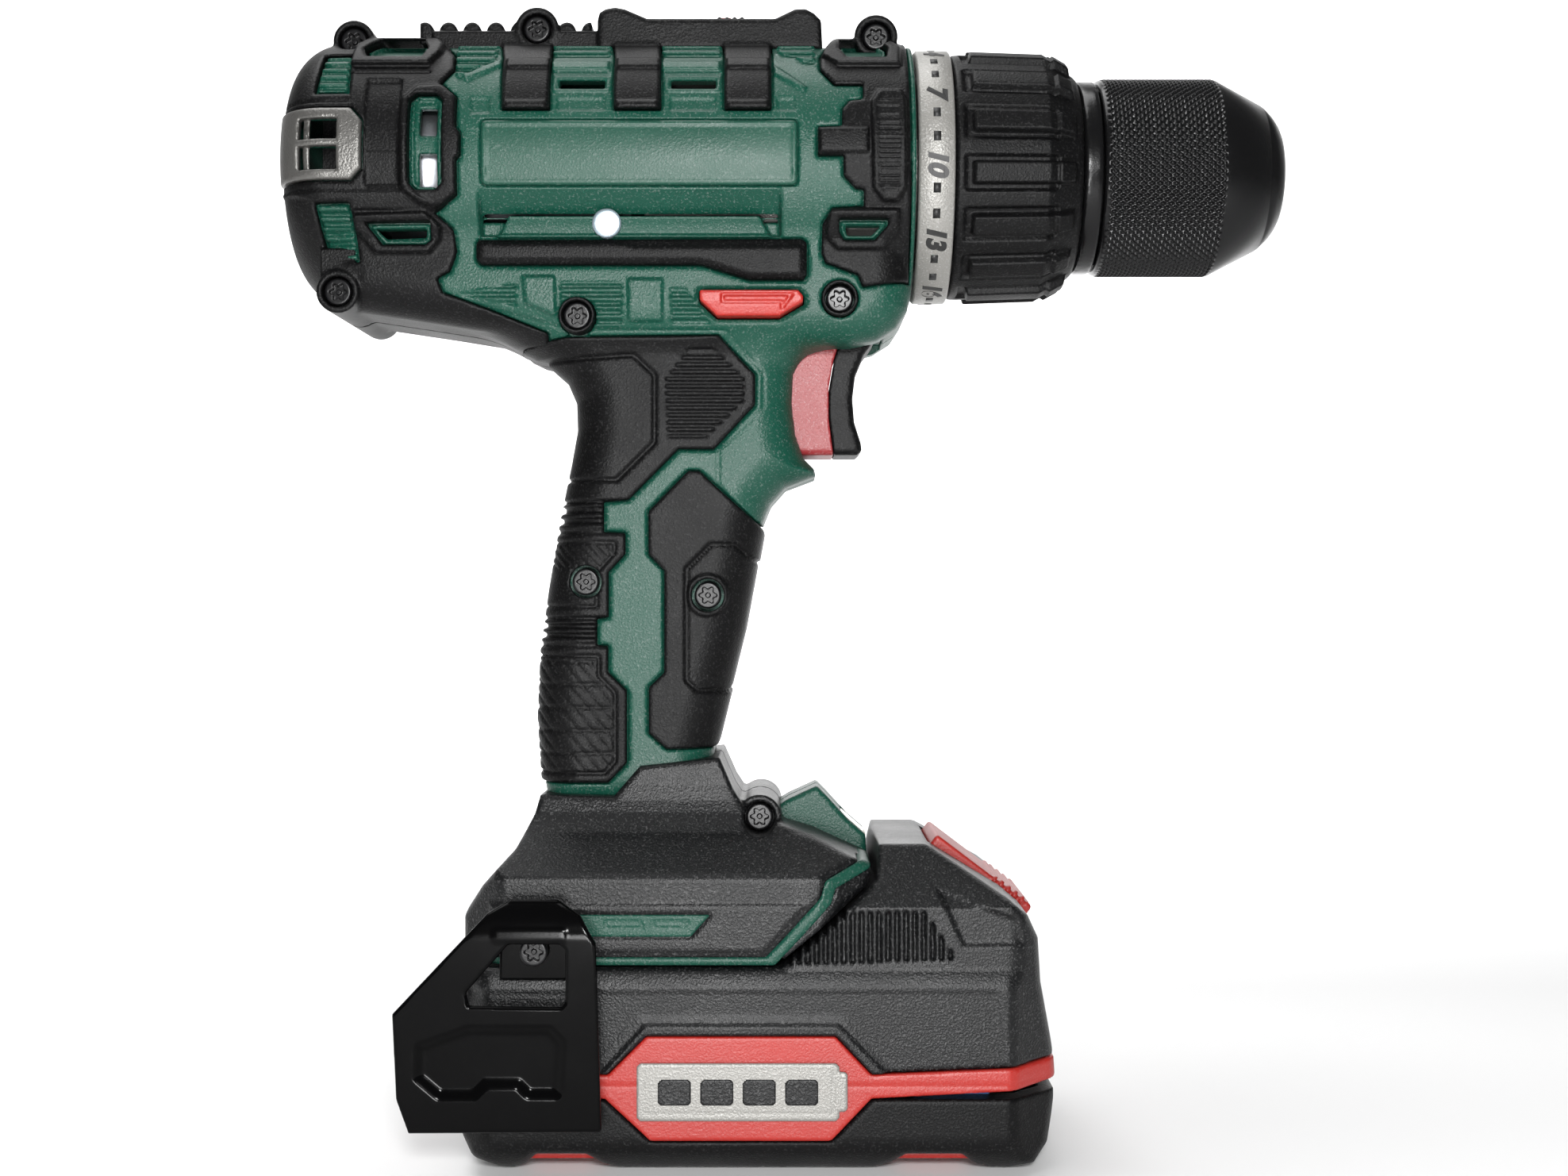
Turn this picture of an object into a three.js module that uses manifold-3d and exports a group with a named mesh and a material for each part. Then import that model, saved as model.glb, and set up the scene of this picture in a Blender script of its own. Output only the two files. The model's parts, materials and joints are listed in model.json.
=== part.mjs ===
// Cordless drill driver: keyless chuck, torque ring, two-stage planetary gearbox and slide-on battery.
// Millimetres. +X points along the chuck, +Z is up and the belt clip is on the -Y side.
// The origin is on the floor, at the middle of the battery's base.
import * as THREE from 'three';
import { mergeVertices } from 'three/addons/utils/BufferGeometryUtils.js';
import Module from 'manifold-3d';

const wasm = await Module();
wasm.setup();

// ---- driving dimensions ----
const GAP = 0.3;
const WALL = 3;
const AXIS_Z = 206.5;
const ROUND = 28;
const REACH = 70;

const BARREL = { rear: -101, front: 32, radius: 27.5 };
const HANDLE = { x: -22, z: 120, lean: 0.2 };
const PAD = { proud: 0.7, sunk: 1.1 };

const GEAR = { module: 1.05, small: 12, ring: 36, addendum: 0.6, dedendum: 0.95, play: 0.3 };
const PITCH_RADIUS = (GEAR.module * GEAR.small) / 2;
const PLANET_ORBIT = 2 * PITCH_RADIUS;
const STAGE_1 = { low: -21, high: -12 };
const STAGE_2 = { low: -7, high: 5 };
const PIN_RADIUS = 2;

const CHUCK = { rear: 67.4, split: 73.7, cone: 96.5, nose: 111.5, radius: 20.9, bore: 6.9 };
const JAW = { tilt: THREE.MathUtils.degToRad(15.5), radius: 3, face: 6.4, rear: 69.4, tip: 88.5 };
const RING = { rear: 32.6, band: 40.3, front: 67, radius: 27, bore: 19.7, ribs: 15 };

const MOTOR = { rear: -82, front: -27, radius: 18.4, wall: 2, bearing: 3.4 };
const ROTOR = { rear: -88, shaft: 1.6, armature: 14.6, commutator: 6, fan: 14 };
const GEARBOX = { rear: -24, shoulder: 31, front: 64, radius: 22.5, neck: 19.1 };
const CARRIER = { radius: 16.4, thickness: 4, clearance: 0.5 };
const SCREW = { radius: 2.8, length: 2.6, drive: 1.4, pit: 3.1, shank: 1.8 };
const BOSS = { radius: 4.5, half: 9, base: 230 };
const CELL = { radius: 8.6, half: 32, pitch: 19.4, rows: [12.6, 30.2], perRow: 5 };
const BLADES = [-12, -4, 4, 12];

const FOOT_Z = 42.3;
const RAIL = { low: 49.6, high: 57, half: 21, neck: 18 };
const BATTERY = { half: 37.5, split: 20.5, top: 42 };

// ---- side-view outlines: [x, z] or [x, z, corner radius] ----
const BELLY_OUTLINE = [
  [-89, 196], [-89, 181, 4], [-82, 172.8, 4], [-60, 170.6], [31.7, 170.6, 5], [31.7, 196],
];
const BELLY_SECTION = [[-22, 200], [22, 200], [22, 174], [18.6, 170], [-18.6, 170], [-22, 174]];
const HANDLE_SECTION = [
  [-26, -8, 4], [-14, -17, 8], [12, -17, 8], [34, -13, 4], [34, 13, 4], [12, 17, 8], [-14, 17, 8],
  [-26, 8, 4],
];
const HANDLE_OUTLINE = [
  [-58, 176], [-52, 168.2, 4], [-39, 160.5, 6], [-38.4, 150], [-42.1, 131.7], [-45.4, 111], [-46.7, 92],
  [-45, 73], [-12, 73], [-9.6, 85], [-2.6, 114], [-0.2, 131, 5], [11.8, 141, 1], [7.4, 152, 6],
  [7, 163, 6], [15, 176],
];
const HANDLE_CORE = [
  [-50, 177], [-48, 171], [-36, 158.5], [-35.4, 150], [-39.1, 131.7], [-42.4, 111], [-43.7, 92],
  [-42.2, 75.6],
  [-15, 75.6], [-12.6, 85], [-5.6, 114], [-3.2, 131], [4, 147], [4, 163], [11, 177],
];
const POD_OUTLINE = [
  [-14, 82], [-6, 80, 2], [4, 75.6], [12.5, 76.4, 2], [17.5, 70], [22, 61.2], [14, 59], [-14, 64],
];

const REAR_PAD = [
  [-110, 170.5], [-110, 243], [-66, 243], [-64.4, 229, 2], [-67, 218.6, 2], [-61, 213.3], [-61, 195.8],
  [-63.7, 183.6, 3], [-59, 170.5],
];
const TOP_PAD = [
  [-53.4, 215.5, 1], [-43, 215.5, 1], [-43, 230], [-30, 230], [-30, 215.5, 1], [-19.7, 215.5, 1],
  [-19.7, 230],
  [-7, 230], [-7, 215.5, 1], [2.6, 215.5, 1], [2.6, 226], [9, 231], [13.1, 234], [13.1, 246], [-53.4, 246],
];
const FRONT_PAD = [
  [13.5, 178, 2], [30.6, 178], [30.6, 238], [13.5, 238], [13.5, 212], [9.4, 211, 1],
  [9.4, 205.2, 1], [13.5, 204],
];
const SIDE_BAR = [
  [-58.2, 189.4, 1], [9.6, 189.4, 1], [9.6, 182.6, 1], [-2.6, 182.6], [-11.9, 185.2], [-58.4, 185.2, 1],
];
const PALM_PAD = [
  [-66, 170], [-8.2, 170, 2], [0, 162.6], [0, 156], [-9.1, 146.3], [-17.4, 146.3], [-27.8, 136.1],
  [-27.8, 126], [-31, 105], [-31, 77.3, 3], [-66, 77.3],
];
const FINGER_PAD = [
  [-13.7, 142.4, 2], [-8, 140], [4, 128], [4, 85], [-10.5, 84, 1], [-19.8, 83.9, 2], [-23.2, 88],
  [-22.8, 96], [-19.8, 99.7], [-19.8, 120.8], [-23.6, 124.5], [-23.6, 132.8, 2],
];
const PLATE_OUTLINE = [[-56.6, 199.5, 1], [8.4, 199.5, 1], [8.4, 212.6, 1], [-56.6, 212.6, 1]];
const SHELF_OUTLINE = [[-56, 197.6], [2.5, 197.6], [-0.5, 191], [-52.5, 191]];
const CAGE_OUTLINE = [[-110, 200], [-110, 215.6], [-81, 215.6, 2], [-81, 200, 2]];

const SELECTOR_OUTLINE = [
  [-12.3, 178.8], [7.9, 178.8], [8.9, 177.6], [8.9, 176.4], [4, 173.6], [-8.7, 173.6], [-12.3, 176.8],
];
const RAIL_TOP_OUTLINE = [
  [-34, 231], [-31, 237.6], [-27.5, 243, 1], [-24.4, 243, 1], [-20.6, 238.6], [5.6, 238.6], [8.2, 242.6, 1],
  [10.8, 242.6], [13.1, 239.8], [13.1, 231],
];

const FOOT_SIDE = [
  [-60.4, FOOT_Z], [-60.4, 51], [-55, 58.5], [-46.6, 73.4], [-8, 73.4], [3, 72], [15, 66], [23.2, 61.2],
  [22, 58], [3.4, FOOT_Z],
];
const FOOT_FRONT = [
  [-36.2, FOOT_Z], [36.2, FOOT_Z], [36.2, 52], [30, 60], [19.5, 69], [18, 75], [-18, 75], [-19.5, 69],
  [-30, 60], [-36.2, 52],
];
const FOOT_TOP = [
  [-60.4, -27], [-51, -36.2], [12, -36.2], [23.2, -29], [23.2, 29], [12, 36.2], [-51, 36.2], [-60.4, 27],
];

const CASE_SIDE = [
  [-60.6, BATTERY.split], [60.4, BATTERY.split], [60, 37], [57.4, 49, 2], [36, 65.2, 2], [24.6, 65.2, 1],
  [23.6, 58.6], [4.2, BATTERY.top], [-60.6, BATTERY.top, 2],
];
const CASE_FRONT = [
  [-37.5, 19], [37.5, 19], [37.5, 28], [35.6, 42], [35.4, 52], [27, 66], [-27, 66], [-35.4, 52],
  [-35.6, 42],
  [-37.5, 28],
];
const PLAN_OUTLINE = [
  [-60.6, -31], [-54, -37.5], [50, -37.5], [60.6, -29], [60.6, 29], [50, 37.5], [-54, 37.5], [-60.6, 31],
];
const BASE_SIDE = [
  [-60.6, 16.2], [-60.6, 4, 2], [-56, 0], [-49, 0], [-45, 2], [-36, 2], [-31.6, 0], [25.7, 0], [30, 2],
  [38, 2], [41, 0], [54, 0], [60.4, 6, 2], [60.4, 16.2],
];
const BAND_SIDE = [
  [-60.6, 16.5], [-24.6, 16.5], [-20, 8.4], [14, 8.4], [19.5, 16.5], [60.4, 16.5], [60.4, 20.2],
  [-60.6, 20.2],
];
const CLIP_OUTLINE = [
  [-53, 54.1, 3], [-48.8, 56.5], [-39.4, 56.5, 3], [-31.7, 48.4, 4], [-30.6, 11.5, 1], [-68.4, 11.4, 2],
  [-71.4, 34.6, 4],
];
const CLIP_TAB = [[-51.4, 50.8], [-37.8, 50.8], [-37.8, 42.6, 2], [-51.4, 42.6, 2]];
const CLIP_PRESS = [[-64, 29, 2], [-55, 32, 2], [-40, 32, 2], [-40, 20, 2], [-64, 20, 2]];
const TRIGGER_OUTLINE = [
  [-3, 147], [-3, 168], [8, 170.6], [17, 170.6], [14.6, 163], [14.4, 152], [14.6, 146], [8, 146],
];
const TRIGGER_PAD_OUTLINE = [
  [17.3, 170.6], [24.2, 170.6, 2], [20.4, 163, 4], [19.8, 156], [21.6, 146, 1], [14.9, 146], [14.7, 152],
  [14.9, 163],
];
const WALL_VENTS = [
  [[-80.6, 228.6], [-70, 228.6], [-72, 233], [-80.6, 233]],
  [[-71, 199.5, 1], [-66.6, 199.5, 1], [-66.6, 218, 1], [-71, 218, 1]],
  [[-80.4, 189.2], [-70, 189.2], [-67.8, 192.6], [-80.4, 192.6]],
  [[17.4, 228.4], [24.8, 228.4], [24.8, 230], [17.4, 230]],
  [[17, 189.2], [24, 189.2], [26.2, 192.8], [17, 192.8]],
  [[-44, 220], [-36, 220], [-36, 221.6], [-44, 221.6]],
  [[-16, 220], [-8, 220], [-8, 221.6], [-16, 221.6]],
];
const CAGE_WINDOWS = [-95, -87].map((x) => [[x, 202.6], [x + 5, 202.6], [x + 5, 213], [x, 213]]);
const CLIP_WINDOW = [[-57, 39, 1.4], [-57, 35.8, 1.4], [-37.6, 35.8, 1.5], [-37.6, 48, 1.5], [-48.4, 48]];

// ---- materials ----
const COLOURS = {
  green: [0x14503f, 0.55, 0],
  rubber: [0x17181a, 0.8, 0],
  darkPlastic: [0x2b2c2e, 0.6, 0],
  greyPlastic: [0x4a4c50, 0.6, 0],
  red: [0xc4321f, 0.5, 0],
  triggerRed: [0xc23a40, 0.5, 0],
  silver: [0xa9a79f, 0.45, 0],
  label: [0x3b7562, 0.5, 0],
  glossBlack: [0x070708, 0.2, 0],
  blackSteel: [0x161618, 0.35, 0.8],
  steel: [0x8d9094, 0.35, 0.9],
  lens: [0xdfe6df, 0.1, 0],
  copper: [0x8a4b2a, 0.4, 0.6],
  cell: [0x2f6f9a, 0.5, 0],
};

function material(name) {
  const [color, roughness, metalness] = COLOURS[name];
  return new THREE.MeshStandardMaterial({ color, roughness, metalness });
}

// ---- geometry helpers ----
function toSolid(geometry) {
  geometry.deleteAttribute('normal');
  geometry.deleteAttribute('uv');
  const merged = mergeVertices(geometry, 1e-4);
  const corners = merged.index.array;
  const kept = [];
  for (let i = 0; i < corners.length; i += 3) {
    const [a, b, c] = [corners[i], corners[i + 1], corners[i + 2]];
    if (a !== b && b !== c && c !== a) kept.push(a, b, c);
  }
  return new wasm.Manifold(new wasm.Mesh({
    numProp: 3,
    vertProperties: Float32Array.from(merged.attributes.position.array),
    triVerts: Uint32Array.from(kept),
  }));
}

function toGeometry(solid) {
  const mesh = solid.getMesh();
  const indexed = new THREE.BufferGeometry();
  indexed.setAttribute('position', new THREE.BufferAttribute(new Float32Array(mesh.vertProperties), 3));
  indexed.setIndex(new THREE.BufferAttribute(new Uint32Array(mesh.triVerts), 1));
  const geometry = indexed.toNonIndexed();
  geometry.computeVertexNormals();
  return geometry;
}

function stepTowards([x, y], [goalX, goalY], distance) {
  const length = Math.hypot(goalX - x, goalY - y);
  const share = length ? distance / length : 0;
  return [x + (goalX - x) * share, y + (goalY - y) * share];
}

function outlineShape(corners) {
  const shape = new THREE.Shape();
  corners.forEach((corner, i) => {
    const [x, y, radius = 0] = corner;
    const start = stepTowards(corner, corners.at(i - 1), radius);
    const end = stepTowards(corner, corners[(i + 1) % corners.length], radius);
    if (i === 0) shape.moveTo(...start);
    else shape.lineTo(...start);
    if (radius > 0) shape.quadraticCurveTo(x, y, ...end);
  });
  shape.closePath();
  return shape;
}

// Moves every edge of a closed outline outwards by the distance (inwards when it is negative).
function offset(corners, distance) {
  const count = corners.length;
  const area = corners.reduce((sum, [x, y], i) => {
    const [nextX, nextY] = corners[(i + 1) % count];
    return sum + x * nextY - nextX * y;
  }, 0);
  const side = Math.sign(area) * distance;
  const normal = ([ax, ay], [bx, by]) => {
    const length = Math.hypot(bx - ax, by - ay);
    return [(by - ay) / length, (ax - bx) / length];
  };
  return corners.map((corner, i) => {
    const [x, y, radius = 0] = corner;
    const [ax, ay] = normal(corners.at(i - 1), corner);
    const [bx, by] = normal(corner, corners[(i + 1) % count]);
    const scale = side / (1 + ax * bx + ay * by);
    return [x + (ax + bx) * scale, y + (ay + by) * scale, radius];
  });
}

function extrude(corners, low, high) {
  const shape = outlineShape(corners);
  const settings = { depth: high - low, bevelEnabled: false, curveSegments: 2 };
  const geometry = new THREE.ExtrudeGeometry(shape, settings);
  return geometry.translate(0, 0, low);
}

const ALONG_X = new THREE.Matrix4().makeBasis(
  new THREE.Vector3(0, 1, 0), new THREE.Vector3(0, 0, 1), new THREE.Vector3(1, 0, 0),
);
const ALONG_Y = new THREE.Matrix4().makeBasis(
  new THREE.Vector3(1, 0, 0), new THREE.Vector3(0, 0, 1), new THREE.Vector3(0, -1, 0),
);

// Outlines of [x, z] swept along Y, [y, z] along X and [x, y] along Z.
function prismY(corners, low, high) {
  return toSolid(extrude(corners, -high, -low).applyMatrix4(ALONG_Y));
}

function prismX(corners, low, high) {
  return toSolid(extrude(corners, low, high).applyMatrix4(ALONG_X));
}

function prismZ(corners, low, high) {
  return toSolid(extrude(corners, low, high));
}

function box(lowX, highX, lowY, highY, lowZ, highZ) {
  const geometry = new THREE.BoxGeometry(highX - lowX, highY - lowY, highZ - lowZ);
  geometry.translate((lowX + highX) / 2, (lowY + highY) / 2, (lowZ + highZ) / 2);
  return toSolid(geometry);
}

// A profile of [x, radius] turned about the X axis at height z.
function turned(profile, z = AXIS_Z, segments = ROUND) {
  const points = profile.map(([x, radius]) => new THREE.Vector2(radius, x));
  const geometry = new THREE.LatheGeometry(points, segments);
  geometry.rotateZ(-Math.PI / 2);
  geometry.translate(0, 0, z);
  return toSolid(geometry);
}

function rodX(low, high, radius, z = AXIS_Z, segments = ROUND) {
  return turned([[low, 0], [low, radius], [high, radius], [high, 0]], z, segments);
}

function rodY(x, z, radius, low, high, segments = 12) {
  const geometry = new THREE.CylinderGeometry(radius, radius, high - low, segments);
  geometry.translate(x, (low + high) / 2, z);
  return toSolid(geometry);
}

function union(solids) {
  return solids.reduce((all, solid) => all.add(solid));
}

function mirrored(solid) {
  return solid.mirror([0, 1, 0]);
}

// ---- body of the drill ----
// The grip's plan section, leaning back with the grip.
function handleSection(grow) {
  const section = offset(HANDLE_SECTION, grow);
  const lean = new THREE.Matrix4().makeShear(0, 0, 0, 0, HANDLE.lean, 0);
  const upright = extrude(section, -80, 80).applyMatrix4(lean);
  return toSolid(upright.translate(HANDLE.x, 0, HANDLE.z));
}

function bodySolid(grow, handleOutline = offset(HANDLE_OUTLINE, grow)) {
  const { rear, front, radius } = BARREL;
  const barrel = turned([
    [rear - grow, 0], [rear - grow, radius - 9], [rear + 2, radius - 4 + grow], [rear + 8, radius + grow],
    [front, radius + grow], [front, 0],
  ]);
  const belly = prismY(offset(BELLY_OUTLINE, grow), -REACH, REACH)
    .intersect(prismX(offset(BELLY_SECTION, grow), rear - 9, front + 9));
  const handle = prismY(handleOutline, -REACH, REACH).intersect(handleSection(grow));
  const behindRing = box(rear - 20, front, -REACH, REACH, 0, 400);
  return barrel.add(belly).add(handle).intersect(behindRing);
}

const OUTER = bodySolid(0);
const PAD_SKIN = bodySolid(PAD.proud).subtract(bodySolid(-PAD.sunk));
const PAD_SEAT = bodySolid(2).subtract(bodySolid(-PAD.sunk - GAP));

function pad(region) {
  return PAD_SKIN.intersect(prismY(region, -REACH, -GAP / 2));
}

function seat(region) {
  return prismY(offset(region, GAP), -REACH, REACH);
}

const TOP_SCREWS = [[-86.6, 234.2], [-47.6, 236.8], [24.6, 235.2]];
const REAR_SCREW = [-87.0, 178.8, 22.6];
const FRONT_SCREW = [16.5, 177.4, 22.4];
const PALM_SCREW = [-36.4, 119, 17.6];
const FINGER_SCREW = [-10.9, 116.2, 17.6];
const SIDE_SCREWS = [REAR_SCREW, [-37.7, 173.9, 22.4], FRONT_SCREW, PALM_SCREW, FINGER_SCREW];
const FOOT_SCREW = [-0.1, 70, 18];
const CLIP_SCREW = [-44.3, 46, 40.9];

function topBosses(grow) {
  const halfY = BOSS.half + grow;
  const halfX = BOSS.radius - 1.1 + grow;
  return union(TOP_SCREWS.map(([x, z]) => {
    const web = box(x - halfX, x + halfX, -halfY, halfY, BOSS.base, z);
    return rodY(x, z, BOSS.radius + grow, -halfY, halfY).add(web);
  }));
}

function rearBoss(grow) {
  const [x, z, face] = REAR_SCREW;
  const half = 20 + grow;
  const web = box(x - grow, x + 5 + grow, -half, half, z - 3.3, z + 4.7);
  return rodY(x, z, 5 + grow, 0.4 - face, face - 0.4).add(web);
}

function screwHoles() {
  const top = TOP_SCREWS.map(([x, z]) => {
    const shank = rodY(x, z, SCREW.shank, -6, -1);
    return rodY(x, z, SCREW.pit, -REACH, 3.6 - BOSS.half).add(shank);
  });
  const side = SIDE_SCREWS.map(([x, z, face]) => rodY(x, z, SCREW.pit, -REACH, 3.6 - face));
  return union([...top, ...side]);
}

// Two ribs across the barrel that hold the motor can.
function motorRibs() {
  const slices = [-79, -34].map((x) => box(x, x + 3, -REACH, REACH, 171, 250));
  return bodySolid(-WALL + 0.2, HANDLE_CORE).intersect(union(slices)).subtract(rodX(-90, 0, 18.8));
}

function topSlot() {
  return box(-24.4, 4.3, -8.4, 8.4, 226, 260);
}

function wallVents() {
  return union([...WALL_VENTS, ...CAGE_WINDOWS].map((outline) => prismY(outline, -REACH, -1)));
}

function triggerMouth() {
  return box(-12, 30, -9.6, 9.6, 145.4, 171.2);
}

function housingShell() {
  const hollow = bodySolid(-WALL, HANDLE_CORE);
  const mouth = rodX(BARREL.front - WALL - 2, BARREL.front + 1, 22.9);
  return OUTER.add(prismY(POD_OUTLINE, -8, 8)).subtract(hollow.add(mouth)).add(motorRibs());
}

function footPocket() {
  return prismY([[-43, 68], [-43, 78], [-14, 78], [-14, 68]], -13, 13);
}

function housingRight() {
  const seats = union([
    REAR_PAD, TOP_PAD, FRONT_PAD, SIDE_BAR, PALM_PAD, FINGER_PAD, PLATE_OUTLINE, CAGE_OUTLINE,
  ].map(seat)).intersect(PAD_SEAT);
  const shelf = prismY(SHELF_OUTLINE, -REACH, -25.2);
  const selector = prismY(offset(SELECTOR_OUTLINE, GAP), -REACH, REACH);
  const lamp = box(17, 24, -5.6, 5.6, 62, 72);
  const half = box(-130, BARREL.front, -REACH, -GAP / 2, 60, 260);
  return housingShell()
    .subtract(seats)
    .subtract(shelf)
    .add(topBosses(0))
    .add(rearBoss(0))
    .subtract(selector)
    .subtract(screwHoles())
    .subtract(topSlot())
    .subtract(wallVents())
    .subtract(triggerMouth())
    .subtract(footPocket())
    .subtract(lamp)
    .intersect(half);
}

function topBumper() {
  const rail = prismY(RAIL_TOP_OUTLINE, -13, -GAP / 2)
    .intersect(prismY(TOP_PAD, -REACH, REACH))
    .subtract(bodySolid(-PAD.sunk));
  return pad(TOP_PAD).add(rail).subtract(topSlot()).subtract(topBosses(GAP));
}

function rearBumper() {
  return pad(REAR_PAD)
    .subtract(seat(CAGE_OUTLINE))
    .subtract(wallVents())
    .subtract(topBosses(GAP))
    .subtract(rearBoss(GAP))
    .subtract(rodY(REAR_SCREW[0], REAR_SCREW[1], 5 + GAP, -REACH, 0));
}

function frontBumper() {
  const screwWay = rodY(FRONT_SCREW[0], FRONT_SCREW[1], SCREW.pit + GAP, -REACH, 0);
  return pad(FRONT_PAD).subtract(wallVents()).subtract(topBosses(GAP)).subtract(screwWay);
}

function grip(region, [x, z]) {
  return pad(region).subtract(rodY(x, z, SCREW.pit + GAP, -REACH, -6));
}

function ventCage() {
  const band = prismY(CAGE_OUTLINE, -REACH, REACH);
  const windows = CAGE_WINDOWS.map((outline) => prismY(outline, -REACH, REACH));
  const rearWindow = box(-120, -80, -14, 14, 202.6, 213);
  return PAD_SKIN.intersect(band).subtract(union(windows)).subtract(rearWindow);
}

function labelPlate() {
  const skin = bodySolid(0.4).subtract(bodySolid(-PAD.sunk + 0.1));
  return skin.intersect(prismY(PLATE_OUTLINE, -REACH, 0));
}

// ---- foot and belt clip ----
function footSolid(grow) {
  const side = prismY(offset(FOOT_SIDE, grow), -REACH, REACH);
  const front = prismX(offset(FOOT_FRONT, grow), -90, 60);
  const top = prismZ(offset(FOOT_TOP, grow), 20, 90);
  return side.intersect(front).intersect(top);
}

function railChannel() {
  const wide = box(-50, 60, -RAIL.half - GAP, RAIL.half + GAP, RAIL.low - GAP, RAIL.high + GAP);
  const neck = box(-50, 60, -RAIL.neck - GAP, RAIL.neck + GAP, FOOT_Z - 4, RAIL.low + 1);
  return wide.add(neck);
}

function footCover() {
  const boss = rodY(FOOT_SCREW[0], FOOT_SCREW[1], 4.6, -FOOT_SCREW[2], FOOT_SCREW[2]);
  const handle = prismY(offset(HANDLE_OUTLINE, GAP), -17.3, 17.3);
  const pod = prismY(offset(POD_OUTLINE, GAP), -8.3, 8.3);
  const hollow = box(-40, -14, -14, 14, 56, 80);
  const half = box(-90, 60, -REACH, -GAP / 2, 30, 90);
  return footSolid(0)
    .add(boss)
    .subtract(railChannel())
    .subtract(handle)
    .subtract(pod)
    .subtract(hollow)
    .subtract(rodY(FOOT_SCREW[0], FOOT_SCREW[1], SCREW.pit, -REACH, 3.6 - FOOT_SCREW[2]))
    .subtract(rodY(CLIP_SCREW[0], CLIP_SCREW[1], SCREW.shank, -REACH, -30))
    .intersect(half);
}

function beltClip() {
  const plate = prismY(CLIP_OUTLINE, -44.8, -43.2).subtract(prismY(CLIP_WINDOW, -50, -40));
  const tab = prismY(CLIP_TAB, -38, -36.5);
  const bend = box(-51.4, -37.8, -44, -36.5, 49.2, 50.8);
  const press = prismY(CLIP_PRESS, -46, -44.3);
  const hole = rodY(CLIP_SCREW[0], CLIP_SCREW[1], SCREW.shank + GAP, -50, -30);
  return plate.subtract(press).add(bend).add(tab).subtract(hole);
}

// ---- gears ----
function gearOutline(teeth, inner, outer, play) {
  const radius = (GEAR.module * teeth) / 2;
  const step = (2 * Math.PI) / teeth;
  const halfAt = (r) => (step * radius / 4 - play / 2 + (radius - r) * 0.45) / r;
  const corners = [];
  for (let i = 0; i < teeth; i += 1) {
    const middle = i * step;
    const [root, tip] = [halfAt(inner), halfAt(outer)];
    for (const [angle, r] of [[-root, inner], [-tip, outer], [tip, outer], [root, inner]]) {
      corners.push([r * Math.cos(middle + angle), r * Math.sin(middle + angle)]);
    }
  }
  return corners;
}

function smallGear(low, high) {
  const root = PITCH_RADIUS - GEAR.dedendum * GEAR.module;
  const tip = PITCH_RADIUS + GEAR.addendum * GEAR.module;
  return prismX(gearOutline(GEAR.small, root, tip, GEAR.play), low, high);
}

function ringSpace(low, high) {
  const radius = (GEAR.module * GEAR.ring) / 2;
  const inner = radius - GEAR.addendum * GEAR.module;
  const outer = radius + GEAR.dedendum * GEAR.module;
  const space = prismX(gearOutline(GEAR.ring, inner, outer, -GEAR.play), low, high);
  return space.rotate([180 / GEAR.ring, 0, 0]);
}

function planet(stage) {
  const hole = rodX(stage.low - 1, stage.high + 1, PIN_RADIUS + GAP, 0, 10);
  return smallGear(stage.low, stage.high).subtract(hole);
}

function planetPins(low, high) {
  const pins = [0, 1, 2].map((i) => {
    const angle = (i * 2 * Math.PI) / 3;
    const pin = rodX(low, high, PIN_RADIUS, 0, 10);
    return pin.translate([0, PLANET_ORBIT * Math.cos(angle), PLANET_ORBIT * Math.sin(angle)]);
  });
  return union(pins);
}

// ---- drive ----
function motorCan() {
  const { rear, front, radius, wall, bearing } = MOTOR;
  const can = turned([
    [rear, bearing], [rear, radius], [front, radius], [front, bearing], [front - wall, bearing],
    [front - wall, radius - wall], [rear + wall, radius - wall], [rear + wall, bearing], [rear, bearing],
  ]);
  const windows = [-25, 10].map((y) => box(rear + 7, rear + 16, y, y + 15, 201, 212));
  return can.subtract(union(windows));
}

function rotor() {
  const { rear, shaft, armature, commutator, fan } = ROTOR;
  return union([
    rodX(rear, STAGE_1.low + 2, shaft, 0, 10),
    rodX(-78.5, -73, commutator, 0, 12),
    rodX(-70, -42, armature, 0, 18),
    rodX(-39, -31, fan, 0, 18),
    smallGear(STAGE_1.low - 3, STAGE_1.high - 0.4),
  ]);
}

function gearboxCase() {
  const { rear, shoulder, front, radius, neck } = GEARBOX;
  const outside = turned([
    [rear, 0], [rear, radius], [shoulder, radius], [shoulder, neck], [front, neck], [front, 0],
  ]);
  const ringGear = ringSpace(rear - 2, STAGE_2.high + 1).translate([0, 0, AXIS_Z]);
  const carrierSpace = rodX(STAGE_2.high + 0.5, 14, 18);
  const clutchSpace = rodX(10, 52, 12.5);
  const shaftHole = rodX(50, front + 2, 7.6);
  return outside.subtract(union([ringGear, carrierSpace, clutchSpace, shaftHole]));
}

function carrierOne() {
  const { radius, clearance } = CARRIER;
  return union([
    rodX(STAGE_1.high + clearance, STAGE_2.low - 0.8, radius, 0),
    planetPins(STAGE_1.low + 0.4, STAGE_1.high + 1),
    smallGear(STAGE_2.low - 1, STAGE_2.high - 0.5),
  ]);
}

function spindle() {
  const { radius, thickness, clearance } = CARRIER;
  const start = STAGE_2.high + clearance;
  const disc = rodX(start, start + thickness, radius, 0);
  const shaft = turned([
    [9, 0], [9, 9.5], [46, 9.5], [46, 7.3], [66.8, 7.3], [66.8, 6], [80, 6], [80, 0],
  ], 0);
  return union([disc, planetPins(STAGE_2.low + 0.4, STAGE_2.high + 1), shaft]);
}

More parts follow.
